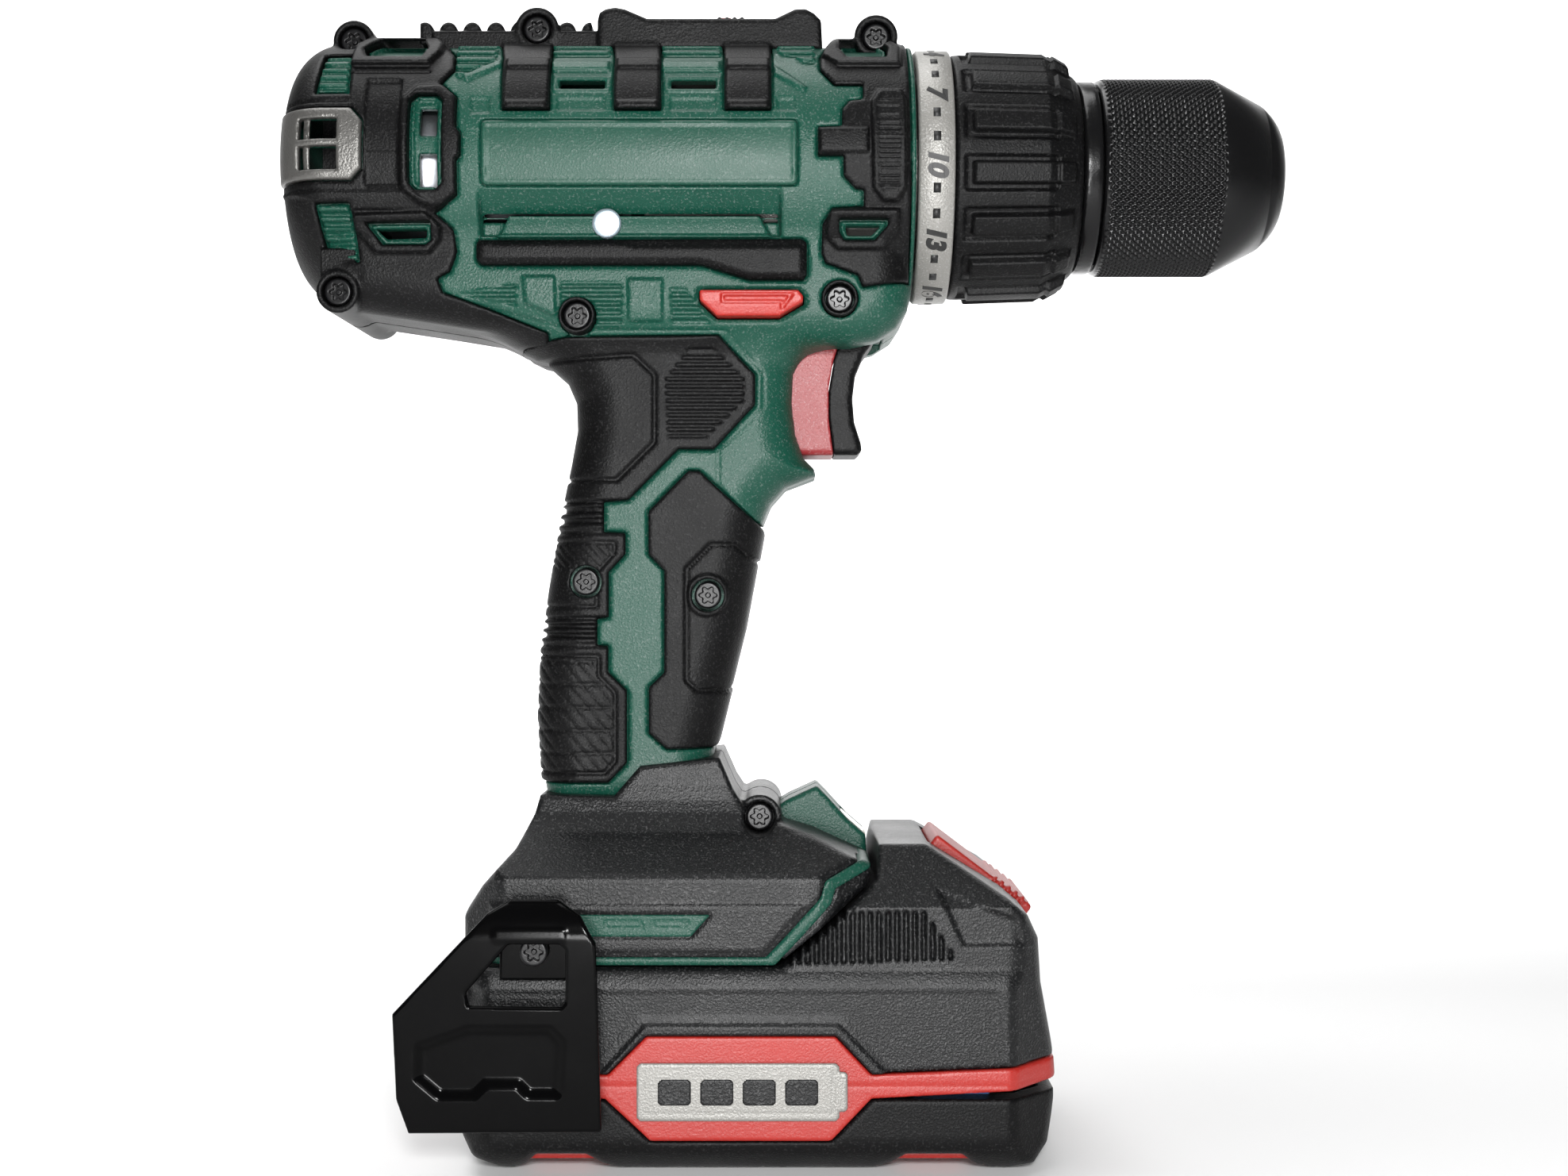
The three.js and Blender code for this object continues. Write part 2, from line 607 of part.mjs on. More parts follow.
// ---- chuck ----
function jawRod(radius, low, high) {
  const middle = (JAW.rear + JAW.tip) / 2;
  const tilt = THREE.MathUtils.radToDeg(JAW.tilt);
  const rod = rodX(low - middle, high - middle, radius, 0, 12).rotate([0, tilt, 0]);
  const lift = JAW.face + 1.8 + ((JAW.tip - JAW.rear) / 2) * Math.tan(JAW.tilt);
  return rod.translate([middle, 0, lift]);
}

// A jaw narrows to its gripping edge, so that three of them can meet on the axis.
function jaw() {
  const { radius, face, rear, tip } = JAW;
  const shoulder = face + 1.7;
  const wedge = [
    [-0.5, face], [0.5, face], [radius, shoulder], [radius, 30], [-radius, 30], [-radius, shoulder],
  ];
  return jawRod(radius, 50, 110).intersect(prismX(wedge, rear, tip));
}

function chuckBody() {
  const { rear, split, cone, radius } = CHUCK;
  const outside = turned([
    [rear, 0], [rear, radius - 2], [rear + 1.4, radius - 0.3], [split - 0.3, radius - 0.3],
    [split - 0.3, 18.1],
    [cone, 18.1], [108.4, 10.6], [108.4, 0],
  ], 0);
  const seatBore = rodX(rear - 1, 80.4, 6.3, 0, 16);
  const bore = rodX(80, 110, CHUCK.bore, 0, 16);
  const holes = [0, 120, 240].map((angle) => jawRod(JAW.radius + GAP, 62, 130).rotate([angle, 0, 0]));
  return outside.subtract(union([seatBore, bore, ...holes]));
}

function chuckSleeve() {
  const { split, cone, nose, radius } = CHUCK;
  return turned([
    [split, 18.5], [split, radius - 0.8], [split + 0.8, radius], [cone, radius], [107.5, 14.4],
    [nose, 10.4],
    [nose, 7.7], [108.8, 7.7], [108.8, 11], [cone + 0.4, 18.5], [split, 18.5],
  ], 0, 32);
}

function torqueRing() {
  const { band, front, radius, bore, ribs } = RING;
  const core = turned([
    [band, bore], [band, radius - 1.2], [59.6, radius - 1.2], [front, radius - 5.4],
    [front, bore], [band, bore],
  ], 0);
  const rib = prismX([[-1.7, radius - 2.2], [1.7, radius - 2.2], [1.3, radius], [-1.3, radius]], band, 60);
  const slots = [];
  for (let i = 0; i < ribs; i += 1) slots.push(rib.rotate([(i * 360) / ribs, 0, 0]));
  return core.add(union(slots));
}

function scaleBand() {
  const { rear, band, radius, bore } = RING;
  return turned([
    [rear, bore], [rear, radius - 0.4], [rear + 0.4, radius], [band - GAP, radius],
    [band - GAP, bore], [rear, bore],
  ], 0);
}

// ---- controls ----
function triggerPiece(outline) {
  return prismY(outline, -9, 9);
}

function directionSelector() {
  const arrow = prismY([[-5, 176], [4, 176], [4, 175.4], [-5, 175.4]], -26, -24.2);
  return prismY(SELECTOR_OUTLINE, -24.8, 24.8).subtract(arrow).subtract(mirrored(arrow));
}

function speedSelector() {
  const block = box(-14.4, 3.6, -8, 8, 229.6, 238.8);
  const rib = prismY([[-10, 238], [-8.6, 240.6, 0.5], [-3.4, 240.6, 0.5], [-2, 238]], -7, 7);
  return block.add(rib);
}

// ---- electrics ----
function switchModule() {
  const body = box(-31, -11.6, -9, 9, 142, 168);
  const leads = [-5, 5].map((y) => box(-30, -26, y - 1.4, y + 1.4, 84, 143));
  return union([body, ...leads]);
}

function terminalBlock() {
  const body = box(-49.4, -37.4, -17, 17, 47, RAIL.high - 0.4);
  const blades = BLADES.map((y) => box(-38, -24, y - 0.4, y + 0.4, 51, 56));
  return union([body, ...blades]);
}

// ---- battery ----
// A block on the battery's front slope; its local Z runs out of the slope.
function onButtonSlope(block) {
  const slope = THREE.MathUtils.radToDeg(Math.atan2(57.4 - 36, 65.2 - 49));
  return block.rotate([0, 90 - slope, 0]).translate([46.6, 0, 57.2]);
}

function batteryVents() {
  const slots = [0, 1, 2, 3, 4, 5].map((i) => box(10 + i * 4.6, 12.4 + i * 4.6, -60, 60, 43.6, 50.6));
  const core = box(0, 50, -33, 33, 42, 53);
  return union(slots).subtract(core);
}

function batteryCase() {
  const shell = prismY(CASE_SIDE, -REACH, REACH)
    .intersect(prismX(CASE_FRONT, -90, 90))
    .intersect(prismZ(PLAN_OUTLINE, 0, 90));
  const rails = box(-36.6, 26, -RAIL.half, RAIL.half, RAIL.low, RAIL.high)
    .add(box(-36.6, 26, -RAIL.neck, RAIL.neck, 40, RAIL.low + 1));
  const bladeSlots = BLADES.map((y) => box(-40, -20, y - 0.9, y + 0.9, 50.2, 60));
  const cavity = box(-57, 56, -34, 34, 15, 39.6);
  return shell
    .add(rails)
    .subtract(union(bladeSlots))
    .subtract(cavity)
    .subtract(batteryVents())
    .subtract(onButtonSlope(box(-13, 13, -13.4, 13.4, -6, 10)));
}

function batteryButton() {
  return onButtonSlope(box(-12.6, 12.6, -13, 13, -2, 1.2));
}

function batteryBase() {
  const shell = prismY(BASE_SIDE, -REACH, REACH).intersect(prismZ(PLAN_OUTLINE, -5, 90));
  const hexagon = prismY(offset([[-24.6, 17], [-20, 8.4], [14, 8.4], [19.5, 17]], GAP), -REACH, REACH);
  const core = box(-58, 58, -35, 35, 4, 40);
  const cavity = box(-57, 56, -34, 34, 3, 40);
  return shell.subtract(hexagon.subtract(core)).subtract(cavity);
}

function batteryBand() {
  const ring = prismY(BAND_SIDE, -REACH, REACH).intersect(prismZ(offset(PLAN_OUTLINE, 0.6), 0, 90));
  return ring.subtract(prismZ(offset(PLAN_OUTLINE, -2), 0, 90));
}

function batteryCells() {
  const { radius, half, pitch, rows, perRow } = CELL;
  const first = (-pitch * (perRow - 1)) / 2 - 0.2;
  const cells = [];
  for (const z of rows) {
    for (let i = 0; i < perRow; i += 1) cells.push(rodY(first + i * pitch, z, radius, -half, half, 10));
  }
  return union([...cells, box(-50, 50, -4, 4, 4.2, 38.6)]);
}

// ---- small parts ----
function screw() {
  const lobes = [];
  for (let i = 0; i < 6; i += 1) {
    const angle = (i * Math.PI) / 3;
    lobes.push([SCREW.drive * Math.cos(angle), SCREW.drive * Math.sin(angle)]);
  }
  return rodY(0, 0, SCREW.radius, 0, SCREW.length).subtract(prismY(lobes, -1, 1.4));
}

// ---- assembly ----
const drill = new THREE.Group();
drill.name = 'cordless_drill';

function group(name, parent = drill, position = [0, 0, 0]) {
  const made = new THREE.Group();
  made.name = name;
  made.position.set(...position);
  parent.add(made);
  return made;
}

function place(parent, name, solid, colour) {
  const mesh = new THREE.Mesh(toGeometry(solid), material(colour));
  mesh.name = name;
  parent.add(mesh);
  return mesh;
}

function placePair(parent, name, solid, colour) {
  place(parent, `${name}_right`, solid, colour);
  place(parent, `${name}_left`, mirrored(solid), colour);
}

const housing = group('housing');
placePair(housing, 'housing', housingRight(), 'green');
placePair(housing, 'rear_bumper', rearBumper(), 'rubber');
placePair(housing, 'top_bumper', topBumper(), 'rubber');
placePair(housing, 'front_bumper', frontBumper(), 'rubber');
placePair(housing, 'side_bar', pad(SIDE_BAR), 'rubber');
placePair(housing, 'palm_grip', grip(PALM_PAD, PALM_SCREW), 'rubber');
placePair(housing, 'finger_grip', grip(FINGER_PAD, FINGER_SCREW), 'rubber');
placePair(housing, 'foot_cover', footCover(), 'darkPlastic');
place(housing, 'vent_cage', ventCage(), 'greyPlastic');
place(housing, 'label_plate', labelPlate(), 'label');
place(housing, 'belt_clip', beltClip(), 'glossBlack');
place(housing, 'bit_magnet', rodY(-31.4, 194.2, 3, -26.2, -25.4, 16), 'steel');
place(housing, 'lamp_lens', box(18.4, 20.4, -5.2, 5.2, 63, 68), 'lens');

const HEADS = [
  ...TOP_SCREWS.map(([x, z]) => [x, z, BOSS.half]), ...SIDE_SCREWS, FOOT_SCREW,
];
HEADS.forEach(([x, z, face], i) => {
  const mesh = place(housing, `screw_${i + 1}`, screw(), 'blackSteel');
  mesh.position.set(x, 0.6 - face, z);
});
const clipScrew = place(housing, 'clip_screw', screw(), 'blackSteel');
clipScrew.position.set(CLIP_SCREW[0], -CLIP_SCREW[2], CLIP_SCREW[1]);

const drive = group('drive');
place(drive, 'motor_can', motorCan(), 'steel');
place(drive, 'gearbox_case', gearboxCase(), 'greyPlastic');
place(drive, 'switch_module', switchModule(), 'darkPlastic');
place(drive, 'terminal_block', terminalBlock(), 'darkPlastic');

const onAxis = group('on_axis', drill, [0, 0, AXIS_Z]);
place(onAxis, 'rotor', rotor(), 'copper');
place(onAxis, 'carrier_1', carrierOne(), 'steel');
place(onAxis, 'spindle', spindle(), 'steel');
place(onAxis, 'chuck_body', chuckBody(), 'blackSteel');
place(onAxis, 'chuck_sleeve', chuckSleeve(), 'blackSteel');
place(onAxis, 'torque_ring', torqueRing(), 'rubber');
place(onAxis, 'scale_band', scaleBand(), 'silver');
for (let i = 0; i < 3; i += 1) {
  const angle = (i * 2 * Math.PI) / 3;
  place(onAxis, `jaw_${i + 1}`, jaw(), 'steel').rotation.x = angle;
  [STAGE_1, STAGE_2].forEach((stage, index) => {
    const gear = place(onAxis, `planet_${index + 1}_${i + 1}`, planet(stage), 'steel');
    gear.position.set(0, PLANET_ORBIT * Math.cos(angle), PLANET_ORBIT * Math.sin(angle));
    gear.rotation.x = angle + Math.PI / GEAR.small;
  });
}

const controls = group('controls');
place(controls, 'trigger', triggerPiece(TRIGGER_OUTLINE), 'triggerRed');
place(controls, 'trigger_pad', triggerPiece(TRIGGER_PAD_OUTLINE), 'rubber');
place(controls, 'direction_selector', directionSelector(), 'red');
place(controls, 'speed_selector', speedSelector(), 'rubber');

const battery = group('battery');
place(battery, 'battery_case', batteryCase(), 'darkPlastic');
place(battery, 'battery_base', batteryBase(), 'rubber');
place(battery, 'battery_band', batteryBand(), 'red');
place(battery, 'battery_cells', batteryCells(), 'cell');
place(battery, 'battery_button', batteryButton(), 'red');

export default drill;
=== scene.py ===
import json
import math

import bpy
import numpy as np
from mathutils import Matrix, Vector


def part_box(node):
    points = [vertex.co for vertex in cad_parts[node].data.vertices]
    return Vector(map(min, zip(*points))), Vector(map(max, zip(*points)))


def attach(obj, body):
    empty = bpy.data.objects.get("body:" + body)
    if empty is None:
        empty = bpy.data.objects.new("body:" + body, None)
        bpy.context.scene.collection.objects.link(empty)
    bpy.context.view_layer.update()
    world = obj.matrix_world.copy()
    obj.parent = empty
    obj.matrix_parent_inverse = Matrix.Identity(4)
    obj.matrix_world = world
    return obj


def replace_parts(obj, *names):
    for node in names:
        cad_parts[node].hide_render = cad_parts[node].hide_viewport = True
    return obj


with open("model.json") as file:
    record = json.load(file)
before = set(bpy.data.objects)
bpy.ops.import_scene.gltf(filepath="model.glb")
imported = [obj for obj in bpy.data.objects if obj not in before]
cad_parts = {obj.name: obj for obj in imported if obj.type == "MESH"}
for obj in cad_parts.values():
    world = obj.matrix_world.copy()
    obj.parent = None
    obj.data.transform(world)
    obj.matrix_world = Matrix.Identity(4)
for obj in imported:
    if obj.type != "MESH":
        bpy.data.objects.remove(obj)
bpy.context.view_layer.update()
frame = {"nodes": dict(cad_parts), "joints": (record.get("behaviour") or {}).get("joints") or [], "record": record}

# ---- driving dimensions, in millimetres (the camera's place is in metres) ----
MM = 0.001
STEP = 0.5
BLOCK = 8
SLACK = 3.0
MAP_STEP = 0.25
GAP = 0.3
JOINTS = {joint["name"]: joint for joint in frame["joints"]}


def corners_mm(node):
    low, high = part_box(node)
    return np.array(low) / MM, np.array(high) / MM


def centre_mm(node):
    low, high = corners_mm(node)
    return (low + high) / 2


AXIS_Z = JOINTS["spindle_spin"]["pos_m"][2] / MM
BARREL = {"rear": -98.5, "front": corners_mm("housing_right")[1][0], "radius": 27.5, "dome": 10.0}
BELLY_HALF = 22.0
BELLY_ROUNDING = 8.0
HANDLE_HALF = 17.0
SEAM = GAP / 2
SCREW_RADIUS = 2.8
FINE = STEP * 0.7
LAYER_DEPTH = 1.1
SEAT_DEPTH = 1.3
PLATE_DEPTH = 0.9
CAGE_PROUD = 1.2
MOTOR_BAY = {"middle": -32, "half": 63, "radius": 24.3}
SCREW_BORE = 3.9
BATTERY_HALF = 37.5
CLIP_SHEET = 1.6
BADGE_FACE = 37.8
CAMERA = {"place": (0.005, -0.43, 0.1177), "lens": 45.44, "sensor": 36}


# ---- distance-field helpers: negative inside, arrays in and out ----
def both(a, b, radius=0.0):
    """Where both solids are, with the edge between them rounded."""
    if radius == 0:
        return np.maximum(a, b)
    corner = np.hypot(np.maximum(a + radius, 0), np.maximum(b + radius, 0))
    return np.minimum(np.maximum(a, b), -radius) + corner


def join(a, b, radius=0.0):
    """Either solid, with a fillet between them."""
    return -both(-a, -b, radius)


def cut(a, b, radius=0.0):
    return both(a, -b, radius)


def ramp(distance, amount, width=0.5):
    """amount inside an outline, falling to nothing over a short slope at its edge."""
    t = np.clip(0.5 - distance / width, 0, 1)
    return amount * t * t * (3 - 2 * t)


def outline_distance(points, u, v, reach=4.0):
    """Signed distance to a closed outline; far away it is the distance to the outline's box."""
    points = np.asarray(points, np.float32)
    low, high = points.min(0), points.max(0)
    far = np.hypot(
        np.maximum(np.maximum(low[0] - u, u - high[0]), 0),
        np.maximum(np.maximum(low[1] - v, v - high[1]), 0),
    )
    near = far < reach
    pu, pv = u[near], v[near]
    nearest = np.full(pu.shape, 1e9, np.float32)
    inside = np.zeros(pu.shape, bool)
    for (au, av), (bu, bv) in zip(points, np.roll(points, -1, 0)):
        eu, ev = bu - au, bv - av
        wu, wv = pu - au, pv - av
        t = np.clip((wu * eu + wv * ev) / (eu * eu + ev * ev), 0, 1)
        nearest = np.minimum(nearest, (wu - eu * t) ** 2 + (wv - ev * t) ** 2)
        if ev != 0:
            crosses = ((av > pv) != (bv > pv)) & (pu < eu * wv / ev + au)
            inside ^= crosses
    far[near] = np.sqrt(nearest) * np.where(inside, -1, 1)
    return far


def line_distance(points, u, v):
    """Distance to an open line of points."""
    nearest = np.full(u.shape, 1e9, np.float32)
    for (au, av), (bu, bv) in zip(points[:-1], points[1:]):
        eu, ev = bu - au, bv - av
        wu, wv = u - au, v - av
        t = np.clip((wu * eu + wv * ev) / (eu * eu + ev * ev), 0, 1)
        nearest = np.minimum(nearest, (wu - eu * t) ** 2 + (wv - ev * t) ** 2)
    return np.sqrt(nearest)


def box_outline(low_u, high_u, low_v, high_v, chamfer=0.0):
    if chamfer == 0:
        return [(low_u, low_v), (high_u, low_v), (high_u, high_v), (low_u, high_v)]
    c = chamfer
    return [
        (low_u + c, low_v), (high_u - c, low_v), (high_u, low_v + c), (high_u, high_v - c),
        (high_u - c, high_v), (low_u + c, high_v), (low_u, high_v - c), (low_u, low_v + c),
    ]


def stripes(u, pitch, amount, share=0.5):
    """Raised bars of one pitch along u."""
    wave = np.abs((u / pitch) % 1 - 0.5) * 2
    return ramp(wave - share, amount, 0.35)


def relief_over(outline, u, v, amount, width=0.5, grow=0.0):
    """Relief over one outline of the side view, which is grown by so much; width is its slope's."""
    return ramp(outline_distance(outline, u, v) - grow, amount, width)


class SideMap:
    """A function of x and z (the side view), tabulated once and then looked up."""

    low = np.array([-110.0, -4.0])
    high = np.array([70.0, 250.0])

    def __init__(self, make):
        us = np.arange(self.low[0], self.high[0], MAP_STEP, dtype=np.float32)
        vs = np.arange(self.low[1], self.high[1], MAP_STEP, dtype=np.float32)
        u, v = np.meshgrid(us, vs, indexing="ij")
        self.table = make(u, v).astype(np.float32)

    def __call__(self, x, z):
        u = np.clip((x - self.low[0]) / MAP_STEP, 0, self.table.shape[0] - 1.001)
        v = np.clip((z - self.low[1]) / MAP_STEP, 0, self.table.shape[1] - 1.001)
        i, j = u.astype(np.int32), v.astype(np.int32)
        u, v = u - i, v - j
        t = self.table
        return (
            t[i, j] * (1 - u) * (1 - v) + t[i + 1, j] * u * (1 - v)
            + t[i, j + 1] * (1 - u) * v + t[i + 1, j + 1] * u * v
        )


def side_distance(*outlines):
    """The side-view distance to the union of some outlines."""
    def make(u, v):
        return np.minimum.reduce([outline_distance(points, u, v) for points in outlines])
    return SideMap(make)


# ---- meshing ----
def sample(field, low, high, step):
    """Field values on a grid; far from the surface they are only the block's value."""
    blocks = np.ceil((np.asarray(high) - low) / (BLOCK * step)).astype(int)
    axes = [low[k] + (np.arange(blocks[k]) + 0.5) * BLOCK * step for k in range(3)]
    centres = np.meshgrid(*axes, indexing="ij")
    coarse = field(*[c.ravel().astype(np.float32) for c in centres]).reshape(blocks)
    values = np.empty((blocks[0], BLOCK, blocks[1], BLOCK, blocks[2], BLOCK), np.float32)
    values[:] = coarse[:, None, :, None, :, None]
    near = np.argwhere(np.abs(coarse) < BLOCK * step * 0.9 + SLACK)
    local = (np.arange(BLOCK) * step).astype(np.float32)
    lx, ly, lz = np.meshgrid(local, local, local, indexing="ij")
    view = values.transpose(0, 2, 4, 1, 3, 5)
    for start in range(0, len(near), 1500):
        ids = near[start:start + 1500]
        corner = (low + ids * BLOCK * step).astype(np.float32)[:, :, None, None, None]
        points = [(corner[:, k] + offset).ravel() for k, offset in enumerate((lx, ly, lz))]
        view[ids[:, 0], ids[:, 1], ids[:, 2]] = field(*points).reshape(-1, BLOCK, BLOCK, BLOCK)
    return values.reshape(blocks * BLOCK)


def surface_nets(values, low, step):
    """Vertices and quads of the zero surface of a grid of values."""
    inside = values < 0
    count = np.zeros(np.array(values.shape) - 1, np.uint8)
    for i, j, k in np.ndindex(2, 2, 2):
        nx, ny, nz = count.shape
        count += inside[i:i + nx, j:j + ny, k:k + nz]
    active = (count > 0) & (count < 8)
    cells = np.argwhere(active)
    index = np.full(count.shape, -1, np.int32)
    index[active] = np.arange(len(cells))
    total = np.zeros((len(cells), 3), np.float32)
    crossings = np.zeros(len(cells), np.float32)
    for corner in np.ndindex(2, 2, 2):
        for axis in range(3):
            if corner[axis]:
                continue
            other = list(corner)
            other[axis] = 1
            a = values[tuple((cells + corner).T)]
            b = values[tuple((cells + other).T)]
            crossed = (a < 0) != (b < 0)
            place = np.tile(np.array(corner, np.float32), (len(cells), 1))
            place[crossed, axis] = (a / np.where(crossed, a - b, 1))[crossed]
            total[crossed] += place[crossed]
            crossings += crossed
    vertices = low + (cells + total / crossings[:, None]) * step
    quads = []
    for axis in range(3):
        first, second = (axis + 1) % 3, (axis + 2) % 3
        size = np.array(values.shape)
        start = np.zeros(3, int)
        start[first] = start[second] = 1
        stop = size - 1
        here = inside[tuple(slice(start[k], stop[k]) for k in range(3))]
        shift = np.zeros(3, int)
        shift[axis] = 1
        there = inside[tuple(slice(start[k] + shift[k], stop[k] + shift[k]) for k in range(3))]
        for leaving in (True, False):
            edges = np.argwhere((here != there) & (here == leaving)) + start
            ring = []
            for da, db in ((1, 1), (0, 1), (0, 0), (1, 0)):
                cell = edges.copy()
                cell[:, first] -= da
                cell[:, second] -= db
                ring.append(index[tuple(cell.T)])
            quad = np.stack(ring, 1)
            quads.append(quad if leaving else quad[:, ::-1])
    return vertices, np.concatenate(quads)


def settle(field, vertices, step, rounds=2):
    """Moves the vertices on to the field's own zero surface."""
    reach = step * 0.25
    for _ in range(rounds):
        x, y, z = vertices.astype(np.float32).T
        value = field(x, y, z)
        slope = np.stack([
            field(x + reach, y, z) - value, field(x, y + reach, z) - value, field(x, y, z + reach) - value,
        ], 1) / reach
        steepness = np.maximum((slope ** 2).sum(1), 0.25)
        move = slope * (value / steepness)[:, None]
        length = np.linalg.norm(move, axis=1, keepdims=True)
        vertices = vertices - move * np.minimum(1, step * 0.5 / np.maximum(length, 1e-6))
    return vertices


def new_mesh(name, vertices, quads):
    mesh = bpy.data.meshes.new(name)
    mesh.vertices.add(len(vertices))
    mesh.vertices.foreach_set("co", (np.asarray(vertices, np.float32) * MM).ravel())
    mesh.loops.add(quads.size)
    mesh.loops.foreach_set("vertex_index", quads.astype(np.int32).ravel())
    mesh.polygons.add(len(quads))
    mesh.polygons.foreach_set("loop_start", np.arange(0, quads.size, 4, dtype=np.int32))
    mesh.update(calc_edges=True)
    mesh.validate()
    mesh.shade_smooth()
    return mesh


def field_mesh(name, field, low, high, step=STEP):
    low = np.asarray(low, float) - 2 * step
    high = np.asarray(high, float) + 2 * step
    vertices, quads = surface_nets(sample(field, low, high, step), low, step)
    return new_mesh(name, settle(field, vertices, step), quads)


def mirrored_mesh(mesh, name):
    vertices = np.empty(len(mesh.vertices) * 3, np.float32)
    mesh.vertices.foreach_get("co", vertices)
    vertices = vertices.reshape(-1, 3) * (1, -1, 1) / MM
    loops = np.empty(len(mesh.loops), np.int32)
    mesh.loops.foreach_get("vertex_index", loops)
    return new_mesh(name, vertices, loops.reshape(-1, 4)[:, ::-1])


def turned_mesh(name, profile, height=None, columns=240, spacing=0.5):
    """A closed profile of (x, radius, weight) turned about the drill's axis; height(x, angle)
    times the weight is added to the radius."""
    rows = []
    for a, b in zip(profile, profile[1:] + profile[:1]):
        pieces = max(1, int(np.hypot(b[0] - a[0], b[1] - a[1]) / spacing))
        if a[2] == 0 and b[2] == 0:
            pieces = 1
        for i in range(pieces):
            rows.append([p + (q - p) * i / pieces for p, q in zip(a, b)])
    x, radius, weight = np.array(rows).T[:, :, None]
    angle = np.arange(columns)[None, :] * 2 * math.pi / columns
    if height is not None:
        radius = radius + weight * height(x + 0 * angle, angle + 0 * x)
    radius = radius + 0 * angle
    vertices = np.stack([x + 0 * angle, -radius * np.cos(angle), AXIS_Z + radius * np.sin(angle)], -1)
    i, j = np.meshgrid(np.arange(len(rows)), np.arange(columns), indexing="ij")
    following, beside = (i + 1) % len(rows), (j + 1) % columns
    quads = np.stack([
        i * columns + j, following * columns + j, following * columns + beside, i * columns + beside,
    ], -1).reshape(-1, 4)
    return new_mesh(name, vertices.reshape(-1, 3), quads)


# ---- materials ----
GRAIN_SIZE = 0.45
GRAIN_DEPTH = 0.2
COLOUR_SPREAD = 0.12
ROUGHNESS_SPREAD = 0.12
PATCH_SCALE = 60
# the band of the fine noise that turns into pale specks: painted glints
GLINT_BAND = (0.56, 0.72)


def node_material(name, colour, roughness=0.5, metallic=0.0, grain=0.35, painted_glints=0.0, shine=0.5):
    """A moulded or machined surface: fine grain, slight colour change, uneven roughness, and pale specks painted
    into its colour as painted glints.
    """
    material = bpy.data.materials.new(name)
    material.use_nodes = True
    nodes, links = material.node_tree.nodes, material.node_tree.links
    shader = nodes["Principled BSDF"]
    shader.inputs["Metallic"].default_value = metallic
    shader.inputs["Specular IOR Level"].default_value = shine
    place = nodes.new("ShaderNodeTexCoord").outputs["Object"]

    def noise(scale, detail):
        node = nodes.new("ShaderNodeTexNoise")
        node.inputs["Scale"].default_value = scale
        node.inputs["Detail"].default_value = detail
        links.new(place, node.inputs["Vector"])
        return node.outputs["Fac"]

    def mapped(value, start, end, low, high):
        node = nodes.new("ShaderNodeMapRange")
        limits = {"From Min": start, "From Max": end, "To Min": low, "To Max": high}
        for socket, number in limits.items():
            node.inputs[socket].default_value = number
        links.new(value, node.inputs["Value"])
        return node.outputs["Result"]

    def mixed(factor, second):
        node = nodes.new("ShaderNodeMix")
        node.data_type = "RGBA"
        node.inputs["B"].default_value = (*second, 1)
        links.new(factor, node.inputs["Factor"])
        return node

    broad, fine = noise(PATCH_SCALE, 6), noise(1 / (GRAIN_SIZE * MM), 3)
    tone = mixed(broad, [min(1, c * (1 + COLOUR_SPREAD)) for c in colour])
    tone.inputs["A"].default_value = (*[c * (1 - COLOUR_SPREAD) for c in colour], 1)
    # pale specks mixed into the base colour stand in for glints of light: painted glints
    glint_layer = mixed(mapped(fine, *GLINT_BAND, 0, painted_glints), [0.5 + 0.5 * c for c in colour])
    links.new(tone.outputs["Result"], glint_layer.inputs["A"])
    links.new(glint_layer.outputs["Result"], shader.inputs["Base Color"])
    smooth, rough = max(0.02, roughness - ROUGHNESS_SPREAD), min(1, roughness + ROUGHNESS_SPREAD)
    links.new(mapped(broad, 0, 1, smooth, rough), shader.inputs["Roughness"])
    bump = nodes.new("ShaderNodeBump")
    bump.inputs["Strength"].default_value = grain
    bump.inputs["Distance"].default_value = GRAIN_DEPTH * MM
    links.new(fine, bump.inputs["Height"])
    links.new(bump.outputs["Normal"], shader.inputs["Normal"])
    return material


# where a surface has pale specks, they are painted glints
SURFACES = {
    "green_shell": dict(colour=(0.004, 0.05, 0.032), roughness=0.4, grain=0.65, painted_glints=0.14, shine=0.3),
    "rubber": dict(colour=(0.0022, 0.0022, 0.0024), roughness=0.46, grain=0.6, painted_glints=0.035, shine=0.15),
    "dark_plastic": dict(colour=(0.0028, 0.003, 0.0034), roughness=0.38, grain=0.8, painted_glints=0.1, shine=0.3),
    "grey_plastic": dict(colour=(0.13, 0.127, 0.12), roughness=0.36, metallic=0.6, grain=0.7),
    "label": dict(colour=(0.009, 0.055, 0.036), roughness=0.42, grain=0.3, painted_glints=0.1, shine=0.3),
    "clip_black": dict(colour=(0.0012, 0.0012, 0.0013), roughness=0.14, grain=0.03, shine=0.08),
    "magnet": dict(colour=(0.27, 0.33, 0.37), roughness=0.35, metallic=0.5, grain=0.05),
    "lens": dict(colour=(0.6, 0.55, 0.42), roughness=0.15, grain=0.1),
    "screw_steel": dict(colour=(0.004, 0.004, 0.0045), roughness=0.3, grain=0.1, shine=0.25),
    "steel": dict(colour=(0.3, 0.31, 0.33), roughness=0.35, metallic=1.0, grain=0.1),
    "copper": dict(colour=(0.42, 0.16, 0.06), roughness=0.35, metallic=0.9, grain=0.2),
    "chuck_steel": dict(colour=(0.0045, 0.0045, 0.0048), roughness=0.24, metallic=0.2, grain=0.12,
                        shine=0.3),
    "band_silver": dict(colour=(0.24, 0.235, 0.22), roughness=0.4, metallic=0.3, grain=0.7, painted_glints=0.3),
    "trigger_red": dict(colour=(0.22, 0.016, 0.019), roughness=0.42, grain=0.6, painted_glints=0.22),
    "red": dict(colour=(0.33, 0.014, 0.009), roughness=0.42, grain=0.45, painted_glints=0.05),
    "cell": dict(colour=(0.02, 0.12, 0.35), roughness=0.4, grain=0.1),
}
MATERIALS = {name: node_material(name, **surface) for name, surface in SURFACES.items()}
INK = node_material("ink", (0.01, 0.01, 0.01), 0.5, grain=0.1)


